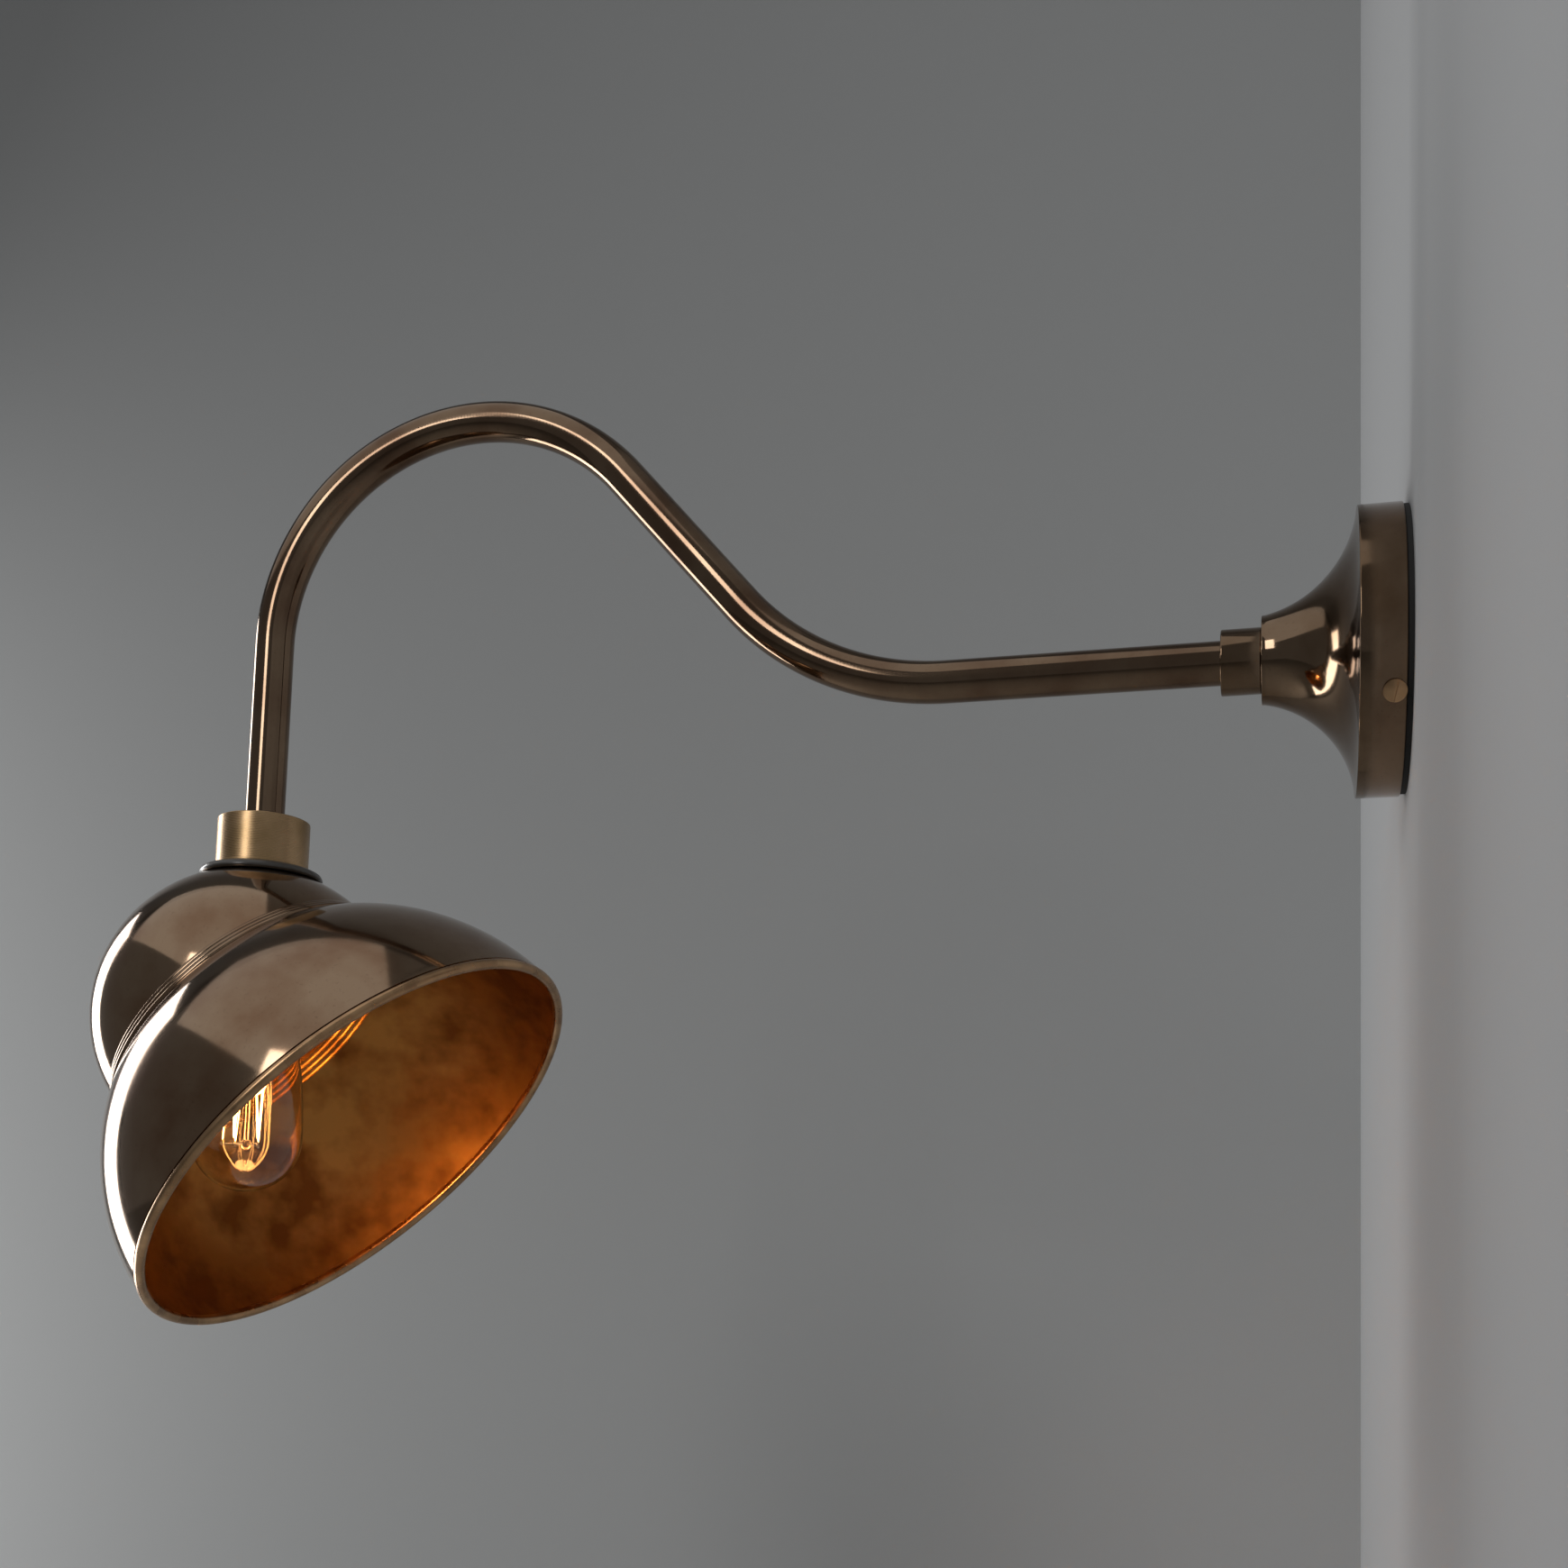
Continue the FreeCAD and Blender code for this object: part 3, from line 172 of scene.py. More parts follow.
def piece(name, grids, finishes, body, nodes, closed=False, finish_of_ring=None, sharp=40):
    """A named mesh from grids of points, riding on a body in place of CAD nodes.

    A grid is rings x points: each ring closes on itself, quads join it to the next ring, and
    in a closed grid the last ring joins the first. Poles are rings of one repeated point, and
    merging them closes the surface.
    """
    points, faces, marks, base = [], [], [], 0
    for grid in grids:
        rings, steps = grid.shape[:2]
        row = np.arange(rings if closed else rings - 1)[:, None]
        column = np.arange(steps)[None, :]
        after_row = (row + 1) % rings
        after_column = (column + 1) % steps
        quads = np.stack([row * steps + column, row * steps + after_column,
                          after_row * steps + after_column, after_row * steps + column], axis=2)
        faces.append(quads.reshape(-1, 4) + base)
        ring_marks = np.zeros(len(row), int) if finish_of_ring is None else finish_of_ring[:len(row)]
        marks.append(np.repeat(ring_marks, steps))
        points.append(grid.reshape(-1, 3) * MM)
        base += rings * steps
    mesh = bpy.data.meshes.new(name)
    mesh.from_pydata(np.concatenate(points).tolist(), [], np.concatenate(faces).tolist())
    mesh.polygons.foreach_set("material_index", np.concatenate(marks).astype(np.int32))
    work = bmesh.new()
    work.from_mesh(mesh)
    bmesh.ops.remove_doubles(work, verts=work.verts, dist=0.002 * MM)
    bmesh.ops.recalc_face_normals(work, faces=work.faces)
    work.to_mesh(mesh)
    work.free()
    mesh.polygons.foreach_set("use_smooth", np.ones(len(mesh.polygons), bool))
    mesh.set_sharp_from_angle(angle=math.radians(sharp))
    for finish in finishes:
        mesh.materials.append(finish)
    thing = bpy.data.objects.new(name, mesh)
    bpy.context.scene.collection.objects.link(thing)
    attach(thing, body)
    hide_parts(*nodes)
    return thing


# ---------------------------------------------------------------- material helpers

MIX_A, MIX_B, MIX_OUT = 6, 7, 2     # the colour sockets of a colour mix
WAVE_PERIOD = 2 * math.pi / 20      # length of one wave at a scale of 1


def colour(code):
    """Linear RGBA of an sRGB hex colour."""
    value = np.array([int(code[i:i + 2], 16) for i in (1, 3, 5)]) / 255
    linear = np.where(value <= 0.04045, value / 12.92, ((value + 0.055) / 1.055) ** 2.4)
    return (*linear.tolist(), 1.0)


def per(size):
    """Scale of a noise whose features measure that many millimetres."""
    return 1000 / size


def waves_per(size):
    """Scale of a wave texture whose waves are that many millimetres apart."""
    return WAVE_PERIOD * 1000 / size


def start_material(name):
    """A new material: (material, its tree, its Principled shader)."""
    material = bpy.data.materials.new(name)
    material.use_nodes = True
    tree = material.node_tree
    return material, tree, tree.nodes["Principled BSDF"]


def add(tree, kind, sockets=None, **settings):
    """Adds a node, sets its properties, and sets or links its inputs."""
    node = tree.nodes.new(kind)
    for name, value in settings.items():
        setattr(node, name, value)
    for name, value in (sockets or {}).items():
        if isinstance(value, bpy.types.NodeSocket):
            tree.links.new(value, node.inputs[name])
        else:
            node.inputs[name].default_value = value
    return node


def fill(tree, shader, sockets):
    """Sets or links the inputs of a shader that is already there."""
    for name, value in sockets.items():
        if isinstance(value, bpy.types.NodeSocket):
            tree.links.new(value, shader.inputs[name])
        else:
            shader.inputs[name].default_value = value


# ---------------------------------------------------------------- brass finishes

def antique_brass_polished(name, place, ring_gap, light, dark):
    """Spun or drawn brass, darkened brown, then buffed: a mirror with a brown cast.

    To the eye: sharp reflections in brown, slow cloudy patches where the darkening is thicker,
    specks about a millimetre wide, and faint spinning rings that soften a reflection's edge.
    """
    material, tree, shader = start_material(name)
    rotation, origin = place
    coordinates = add(tree, "ShaderNodeTexCoord").outputs["Object"]
    local = add(tree, "ShaderNodeMapping", {
        "Vector": coordinates,
        "Location": (origin * MM).tolist(),
        "Rotation": Matrix(rotation.tolist()).to_euler(),
    }, vector_type="TEXTURE").outputs["Vector"]
    clouds = add(tree, "ShaderNodeTexNoise", {"Vector": local, "Scale": per(38), "Detail": 4.0,
                                              "Roughness": 0.55})
    specks = add(tree, "ShaderNodeTexNoise", {"Vector": local, "Scale": per(1.4), "Detail": 2.0})
    rings = add(tree, "ShaderNodeTexWave", {"Vector": local, "Scale": waves_per(ring_gap),
                                            "Distortion": 1.5, "Detail": 2.0},
                wave_type="RINGS", rings_direction="Z")
    patch = add(tree, "ShaderNodeMapRange", {"Value": clouds.outputs["Fac"], "From Min": 0.38,
                                             "From Max": 0.66})
    browned = add(tree, "ShaderNodeMix", {"Factor": patch.outputs["Result"],
                                          MIX_A: colour(light), MIX_B: colour(dark)},
                  data_type="RGBA")
    speckled = add(tree, "ShaderNodeMapRange", {"Value": specks.outputs["Fac"], "From Min": 0.62,
                                                "From Max": 0.8, "To Max": 0.35})
    tone = add(tree, "ShaderNodeMix", {"Factor": speckled.outputs["Result"],
                                       MIX_A: browned.outputs[MIX_OUT], MIX_B: colour("#54402F")},
               data_type="RGBA")
    haze = add(tree, "ShaderNodeMapRange", {"Value": clouds.outputs["Fac"], "From Min": 0.3,
                                            "From Max": 0.7, "To Min": 0.07, "To Max": 0.13})
    bump = add(tree, "ShaderNodeBump", {"Height": rings.outputs["Fac"], "Strength": 0.05,
                                        "Distance": 0.02 * MM})
    grain = add(tree, "ShaderNodeBump", {"Height": specks.outputs["Fac"], "Strength": 0.06,
                                         "Distance": 0.05 * MM, "Normal": bump.outputs["Normal"]})
    fill(tree, shader, {"Base Color": tone.outputs[MIX_OUT], "Metallic": 1.0,
                        "Roughness": haze.outputs["Result"], "Normal": grain.outputs["Normal"]})
    return material


def aged_brass_inside():
    """The shade's unpolished inside: brass darkened in uneven pools.

    To the eye: a soft satin that spreads the bulb's light, mottled from dark brown to ochre in
    pools of about 55 mm with stains of about 20 mm between.
    """
    material, tree, shader = start_material("aged_brass_inside")
    coordinates = add(tree, "ShaderNodeTexCoord").outputs["Object"]
    pools = add(tree, "ShaderNodeTexNoise", {"Vector": coordinates, "Scale": per(55), "Detail": 3.0,
                                             "Roughness": 0.5, "Distortion": 0.4})
    stains = add(tree, "ShaderNodeTexNoise", {"Vector": coordinates, "Scale": per(20), "Detail": 3.0})
    both = add(tree, "ShaderNodeMath", {0: pools.outputs["Fac"], 1: stains.outputs["Fac"]},
               operation="ADD")
    patch = add(tree, "ShaderNodeMapRange", {"Value": both.outputs["Value"], "From Min": 0.82,
                                             "From Max": 1.2})
    tone = add(tree, "ShaderNodeMix", {"Factor": patch.outputs["Result"],
                                       MIX_A: colour("#64421F"), MIX_B: colour("#AC7C40")},
               data_type="RGBA")
    haze = add(tree, "ShaderNodeMapRange", {"Value": both.outputs["Value"], "From Min": 0.8,
                                            "From Max": 1.2, "To Min": 0.42, "To Max": 0.3})
    bump = add(tree, "ShaderNodeBump", {"Height": stains.outputs["Fac"], "Strength": 0.1,
                                        "Distance": 0.1 * MM})
    fill(tree, shader, {"Base Color": tone.outputs[MIX_OUT], "Metallic": 1.0,
                        "Roughness": haze.outputs["Result"], "Normal": bump.outputs["Normal"]})
    return material


def brass_wear_and_painted_highlight():
    """Brass where handling has rubbed the darkening off, lighter, warmer and a little scuffed: partly
    wear, partly a painted highlight on the rim bead and the side screws.
    """
    material, tree, shader = start_material("brass_wear_and_painted_highlight")
    coordinates = add(tree, "ShaderNodeTexCoord").outputs["Object"]
    rubs = add(tree, "ShaderNodeTexNoise", {"Vector": coordinates, "Scale": per(15), "Detail": 3.0})
    patch = add(tree, "ShaderNodeMapRange", {"Value": rubs.outputs["Fac"], "From Min": 0.35,
                                             "From Max": 0.65})
    tone = add(tree, "ShaderNodeMix", {"Factor": patch.outputs["Result"],
                                       MIX_A: colour("#A07E5E"), MIX_B: colour("#C8A27A")},
               data_type="RGBA")
    haze = add(tree, "ShaderNodeMapRange", {"Value": rubs.outputs["Fac"], "To Min": 0.2,
                                            "To Max": 0.36})
    bump = add(tree, "ShaderNodeBump", {"Height": rubs.outputs["Fac"], "Strength": 0.05,
                                        "Distance": 0.05 * MM})
    fill(tree, shader, {"Base Color": tone.outputs[MIX_OUT], "Metallic": 1.0,
                        "Roughness": haze.outputs["Result"], "Normal": bump.outputs["Normal"]})
    return material


def satin_turned_brass(name, light, dark, gap):
    """Brass as it comes off the lathe: satin, with fine rings round the piece.

    The real rings are about 0.1 mm apart; they are drawn coarser, or they wouldn't show.
    """
    material, tree, shader = start_material(name)
    rotation, origin = LAMP
    coordinates = add(tree, "ShaderNodeTexCoord").outputs["Object"]
    local = add(tree, "ShaderNodeMapping", {
        "Vector": coordinates,
        "Location": (origin * MM).tolist(),
        "Rotation": Matrix(rotation.tolist()).to_euler(),
    }, vector_type="TEXTURE").outputs["Vector"]
    marks = add(tree, "ShaderNodeTexWave", {"Vector": local, "Scale": waves_per(gap),
                                            "Distortion": 2.0, "Detail": 3.0, "Detail Scale": 4.0},
                wave_type="BANDS", bands_direction="Z")
    stains = add(tree, "ShaderNodeTexNoise", {"Vector": local, "Scale": per(14), "Detail": 2.0})
    patch = add(tree, "ShaderNodeMapRange", {"Value": stains.outputs["Fac"], "From Min": 0.35,
                                             "From Max": 0.7})
    tone = add(tree, "ShaderNodeMix", {"Factor": patch.outputs["Result"], MIX_A: colour(light),
                                       MIX_B: colour(dark)}, data_type="RGBA")
    haze = add(tree, "ShaderNodeMapRange", {"Value": marks.outputs["Fac"], "To Min": 0.26,
                                            "To Max": 0.36})
    bump = add(tree, "ShaderNodeBump", {"Height": marks.outputs["Fac"], "Strength": 0.08,
                                        "Distance": 0.02 * MM})
    fill(tree, shader, {"Base Color": tone.outputs[MIX_OUT], "Metallic": 1.0,
                        "Roughness": haze.outputs["Result"], "Normal": bump.outputs["Normal"]})
    return material


# ---------------------------------------------------------------- other finishes

def plated_steel():
    """Zinc plated steel: pale grey metal with the dull spangle of the plating bath."""
    material, tree, shader = start_material("zinc_plated_steel")
    coordinates = add(tree, "ShaderNodeTexCoord").outputs["Object"]
    spangle = add(tree, "ShaderNodeTexVoronoi", {"Vector": coordinates, "Scale": per(5)})
    scuffs = add(tree, "ShaderNodeTexNoise", {"Vector": coordinates, "Scale": per(2), "Detail": 3.0})
    tone = add(tree, "ShaderNodeMix", {"Factor": spangle.outputs["Distance"],
                                       MIX_A: colour("#B9BABB"), MIX_B: colour("#9C9D9F")},
               data_type="RGBA")
    haze = add(tree, "ShaderNodeMapRange", {"Value": scuffs.outputs["Fac"], "To Min": 0.28,
                                            "To Max": 0.48})
    fill(tree, shader, {"Base Color": tone.outputs[MIX_OUT], "Metallic": 1.0,
                        "Roughness": haze.outputs["Result"]})
    return material


def moulded(name, light, dark, roughness, grain, coat=0.0):
    """A moulded or fired surface: one tone, faintly uneven, with a fine grain that dulls its shine."""
    material, tree, shader = start_material(name)
    coordinates = add(tree, "ShaderNodeTexCoord").outputs["Object"]
    tint = add(tree, "ShaderNodeTexNoise", {"Vector": coordinates, "Scale": per(12), "Detail": 3.0})
    texture = add(tree, "ShaderNodeTexNoise", {"Vector": coordinates, "Scale": per(grain),
                                               "Detail": 3.0})
    tone = add(tree, "ShaderNodeMix", {"Factor": tint.outputs["Fac"], MIX_A: colour(light),
                                       MIX_B: colour(dark)}, data_type="RGBA")
    haze = add(tree, "ShaderNodeMapRange", {"Value": texture.outputs["Fac"],
                                            "To Min": roughness - 0.06, "To Max": roughness + 0.06})
    bump = add(tree, "ShaderNodeBump", {"Height": texture.outputs["Fac"], "Strength": 0.2,
                                        "Distance": 0.1 * grain * MM})
    fill(tree, shader, {"Base Color": tone.outputs[MIX_OUT], "Roughness": haze.outputs["Result"],
                        "Normal": bump.outputs["Normal"], "Coat Weight": coat})
    return material


def striped_insulation():
    """Earth wire's sleeve: green with a yellow stripe that shows every few millimetres."""
    material, tree, shader = start_material("pvc_green_yellow")
    coordinates = add(tree, "ShaderNodeTexCoord").outputs["Object"]
    stripe = add(tree, "ShaderNodeTexWave", {"Vector": coordinates, "Scale": waves_per(6)},
                 wave_type="BANDS", bands_direction="DIAGONAL")
    edge = add(tree, "ShaderNodeMapRange", {"Value": stripe.outputs["Fac"], "From Min": 0.55,
                                            "From Max": 0.6})
    tone = add(tree, "ShaderNodeMix", {"Factor": edge.outputs["Result"], MIX_A: colour("#2F7A3A"),
                                       MIX_B: colour("#D9C83A")}, data_type="RGBA")
    fill(tree, shader, {"Base Color": tone.outputs[MIX_OUT], "Roughness": 0.42})
    return material


def clear_soda_glass(name, waviness):
    """Blown soda glass: clear, with slow waves that bend what is seen through it."""
    material, tree, shader = start_material(name)
    coordinates = add(tree, "ShaderNodeTexCoord").outputs["Object"]
    waves = add(tree, "ShaderNodeTexNoise", {"Vector": coordinates, "Scale": per(16), "Detail": 1.0})
    bump = add(tree, "ShaderNodeBump", {"Height": waves.outputs["Fac"], "Strength": 0.25,
                                        "Distance": waviness * MM})
    fill(tree, shader, {"Base Color": colour("#FFF8EE"), "Roughness": 0.0, "IOR": 1.5,
                        "Transmission Weight": 1.0, "Normal": bump.outputs["Normal"]})
    return material


def glowing_filament():
    """Carbonised filament at an orange heat, hotter in some stretches of a strand than in others."""
    material, tree, shader = start_material("glowing_filament")
    coordinates = add(tree, "ShaderNodeTexCoord").outputs["Object"]
    heat = add(tree, "ShaderNodeTexNoise", {"Vector": coordinates, "Scale": per(14), "Detail": 1.0})
    tone = add(tree, "ShaderNodeMix", {"Factor": heat.outputs["Fac"], MIX_A: colour("#FF9838"),
                                       MIX_B: colour("#FFCC7E")}, data_type="RGBA")
    fill(tree, shader, {"Base Color": colour("#3A2A20"), "Roughness": 0.6,
                        "Emission Color": tone.outputs[MIX_OUT], "Emission Strength": 26.0})
    return material


SHADE_BRASS = antique_brass_polished("antique_brass_spun_shade", SHADE, 2.2, "#988069", "#83654E")
# the tube and the rose take the shade's brass in darker tones: painted shade, as all three are one
# finish
TUBE_BRASS = antique_brass_polished("antique_brass_drawn_tube", ARM, 1.6, "#836E5A", "#6C5544")
ROSE_BRASS = antique_brass_polished("antique_brass_spun_rose", WALL, 1.8, "#836E5A", "#6C5540")
INSIDE_BRASS = aged_brass_inside()
# lighter brass for the rim bead and the side screws: partly rubbed wear, partly a painted highlight
RUBBED_BRASS_AND_HIGHLIGHT = brass_wear_and_painted_highlight()
CAP_BRASS = satin_turned_brass("satin_brass_lampholder", "#BE9E78", "#A48761", 0.7)
CONTACT_BRASS = satin_turned_brass("bright_brass_contacts", "#D9B36A", "#BF9650", 0.5)
STEEL = plated_steel()
BLACK_MOULDING = moulded("black_phenolic_moulding", "#3A3632", "#4A453F", 0.30, 0.6, coat=0.3)
BLOCK_NYLON = moulded("white_nylon_block", "#E4E1D8", "#D5D1C6", 0.45, 0.5)
CERAMIC = moulded("glazed_white_ceramic", "#ECE9E1", "#DDD8CC", 0.25, 1.0, coat=0.5)
GASKET_RUBBER = moulded("black_foam_rubber", "#1F1E1D", "#2B2927", 0.75, 0.8)
BROWN_PVC = moulded("pvc_brown", "#5A3521", "#4C2C1B", 0.4, 0.8)
BLUE_PVC = moulded("pvc_blue", "#2B5F9E", "#234F86", 0.4, 0.8)
STRIPED_PVC = striped_insulation()
BLACK_GLASS = moulded("black_vitrite_glass", "#0D0C0E", "#17151A", 0.12, 1.5, coat=0.4)
BULB_GLASS = clear_soda_glass("clear_blown_glass", 0.4)
STEM_GLASS = clear_soda_glass("clear_pressed_glass", 0.2)
FILAMENT = glowing_filament()


# ---------------------------------------------------------------- wall end

GASKET, GASKET_BORE, GASKET_EDGE = 2.4, 57.0, 59.0
ROSE, ROSE_FRONT, ROSE_END = 60.0, 20.3, 58.6
ROSE_WALL, NECK_THICKNESS = 2.0, 3.0
ROSE_INSIDE = ROSE - ROSE_WALL
NECK_FLOOR = ROSE_END - NECK_THICKNESS
ROSE_SHOULDER = 59.0        # the flare starts here and leaves the rim's front a small step
FLARE = 46.0
NECK_FACE, NECK_LIP, PIPE_HOLE = 18.7, 57.4, 5.2
COLLAR_START, COLLAR_END, COLLAR_FLOOR = 58.7, 75.5, 62.7
COLLAR, COLLAR_SOCKET, COLLAR_HOLE = 14.0, 9.55, 5.05


def wall_gasket():
    """Foam ring between rose and wall, with soft edges."""
    profile = eased((GASKET_BORE, 0.0, 0.2), (GASKET_EDGE, 0.0, 0.3), (GASKET_EDGE, GASKET, 0.3),
                    (GASKET_BORE, GASKET, 0.2))
    return piece("foam_gasket", [spun(profile, WALL)], [GASKET_RUBBER], "fixed",
                 ["wall_gasket"], closed=True)


def wall_rose():
    """Rose: straight rim, a flare that is an arc inwards to the neck, and its inner wall."""
    profile = eased(
        (ROSE_INSIDE, GASKET, 0.3), (ROSE, GASKET, 0.6), (ROSE, ROSE_FRONT, 0.7),
        bow((ROSE_SHOULDER, ROSE_FRONT), (NECK_FACE, NECK_LIP), FLARE, -1, count=60),
        (NECK_FACE, ROSE_END, 0.45), (PIPE_HOLE, ROSE_END, 0.1), (PIPE_HOLE, NECK_FLOOR, 0.1),
        bow((NECK_FACE - ROSE_WALL, NECK_FLOOR), (ROSE_INSIDE, ROSE_FRONT - ROSE_WALL),
            FLARE + ROSE_WALL, 1, count=30))
    return piece("spun_rose", [spun(profile, WALL, steps=256)], [ROSE_BRASS], "fixed",
                 ["wall_rose"], closed=True)


def arm_collar():
    """Turned collar, a ring with rubbed edges, that the tube plugs into."""
    profile = eased(
        (COLLAR_HOLE, COLLAR_START, 0.1), (COLLAR, COLLAR_START, 0.6), (COLLAR, COLLAR_END, 0.7),
        (COLLAR_SOCKET, COLLAR_END, 0.25), (COLLAR_SOCKET, COLLAR_FLOOR, 0.1),
        (COLLAR_HOLE, COLLAR_FLOOR, 0.1))
    return piece("turned_collar", [spun(profile, WALL, steps=128)], [ROSE_BRASS], "fixed",
                 ["arm_collar"], closed=True)


# ---------------------------------------------------------------- arm

TUBE_OUTSIDE, TUBE_INSIDE = 9.5, 8.0


def gooseneck_tube():
    """Drawn tube: an outer and an inner skin along its middle line, joined at both ends."""
    path = gooseneck_path()
    side = np.array([0.0, 1.0, 0.0])
    outer = tube(path, side, TUBE_OUTSIDE, ARM, steps=96)[1:-1]
    inner = tube(path, side, TUBE_INSIDE, ARM, steps=96)[1:-1]
    skin = np.concatenate([outer, inner[::-1]])
    return piece("drawn_tube", [skin], [TUBE_BRASS], "fixed", ["gooseneck_tube"],
                 closed=True)


# ---------------------------------------------------------------- lampholder

CAP, CAP_LIP, CAP_INSIDE = 22.1, 22.6, 19.85
CAP_CROWN, CAP_LIP_START, CAP_MOUTH = 2.5, 23.1, 24.5
FLANGE_START, FLANGE_SLOPE, FLANGE_EDGE, FLANGE_TURN, FLANGE_END = 24.6, 25.9, 27.5, 28.3, 29.1
FLANGE_TOP, FLANGE_SIDE, FLANGE = 25.65, 28.55, 29.35


def lampholder_cap():
    """Satin brass cup with a thin lip at its mouth."""
    profile = eased(
        (PIPE_HOLE, 0.0, 0.1), (CAP, 0.0, 0.6), (CAP, CAP_LIP_START, 0.15),
        (CAP_LIP, CAP_LIP_START, 0.2), (CAP_LIP, CAP_MOUTH, 0.2), (CAP_INSIDE, CAP_MOUTH, 0.1),
        (CAP_INSIDE, CAP_CROWN, 0.2), (PIPE_HOLE, CAP_CROWN, 0.1))
    return piece("brass_lampholder_cap", [spun(profile, LAMP)], [CAP_BRASS], "fixed",
                 ["lampholder_cap"], closed=True)


def lampholder_flange():
    """Black ring nut with a sloping top and a rounded edge."""
    profile = eased(
        (CAP_INSIDE, FLANGE_START, 0.1), (FLANGE_TOP, FLANGE_START, 0.5),
        (FLANGE_SIDE, FLANGE_SLOPE, 0.5), (FLANGE, FLANGE_EDGE, 0.4),
        (FLANGE, FLANGE_TURN, 0.3), (FLANGE_SIDE, FLANGE_END, 0.3),
        (CAP_INSIDE, FLANGE_END, 0.1))
    return piece("black_shade_flange", [spun(profile, LAMP)], [BLACK_MOULDING], "fixed",
                 ["lampholder_flange"], closed=True)


# ---------------------------------------------------------------- shade

DOME, WALL_THICKNESS = 75.0, 1.2
SEAT_HOLE = 20.2
WAIST_START, WAIST_STEP, WAIST_GROWTH, WAIST_STEPS = -3.0, 2.6, 1.6, 3
WAIST_BEAD = 0.6 * math.hypot(WAIST_STEP, WAIST_GROWTH)
WAIST_RIPPLE = 0.45         # the beads as they show inside
BOWL, RIM_LEAD = 120.4, 6.7
RIM_BEAD, RIM_PROUD = 2.4, 0.8
RIM_ROLL = (-68, 222)       # degrees, where the rolled rim leaves the outside and meets the inside
SHADE_STEPS = 256


def seat_rings(radii, heights, angle):
    """Circles about the lampholder's axis, which leaves the shade's axis by 45 degrees.

    The axis is s = (-1, 0, -1) / sqrt 2 and the circles are height s + r (cos a p + sin a q)
    with p = (1, 0, -1) / sqrt 2 and q = Y.
    """
    slant = math.sqrt(0.5)
    axis = np.array([-slant, 0, -slant])
    across = np.array([slant, 0, -slant])
    round_way = (np.cos(angle)[:, None] * across + np.sin(angle)[:, None] * np.array([0, 1.0, 0]))
    return (np.array(heights)[:, None, None] * axis
            + np.array(radii)[:, None, None] * round_way[None])


def dome_rings(radius, seat_height, angle, count):
    """Rings on a sphere from the seat's circle to the waist's circle.

    Each point goes by the great circle between the two, p sin((1 - t) w) + q sin(t w) over
    sin w, where w is the angle between p and q.
    """
    seat = seat_rings([math.sqrt(radius ** 2 - seat_height ** 2)], [seat_height], angle)[0] / radius
    waist_radius = math.sqrt(radius ** 2 - WAIST_START ** 2)
    waist = np.stack([waist_radius * np.cos(angle), waist_radius * np.sin(angle),
                      np.full(len(angle), WAIST_START)], axis=1) / radius
    between = np.arccos(np.sum(seat * waist, axis=1))[None, :, None]
    t = np.linspace(0, 1, count)[:, None, None]
    return radius * (np.sin((1 - t) * between) * seat + np.sin(t * between) * waist) / np.sin(between)


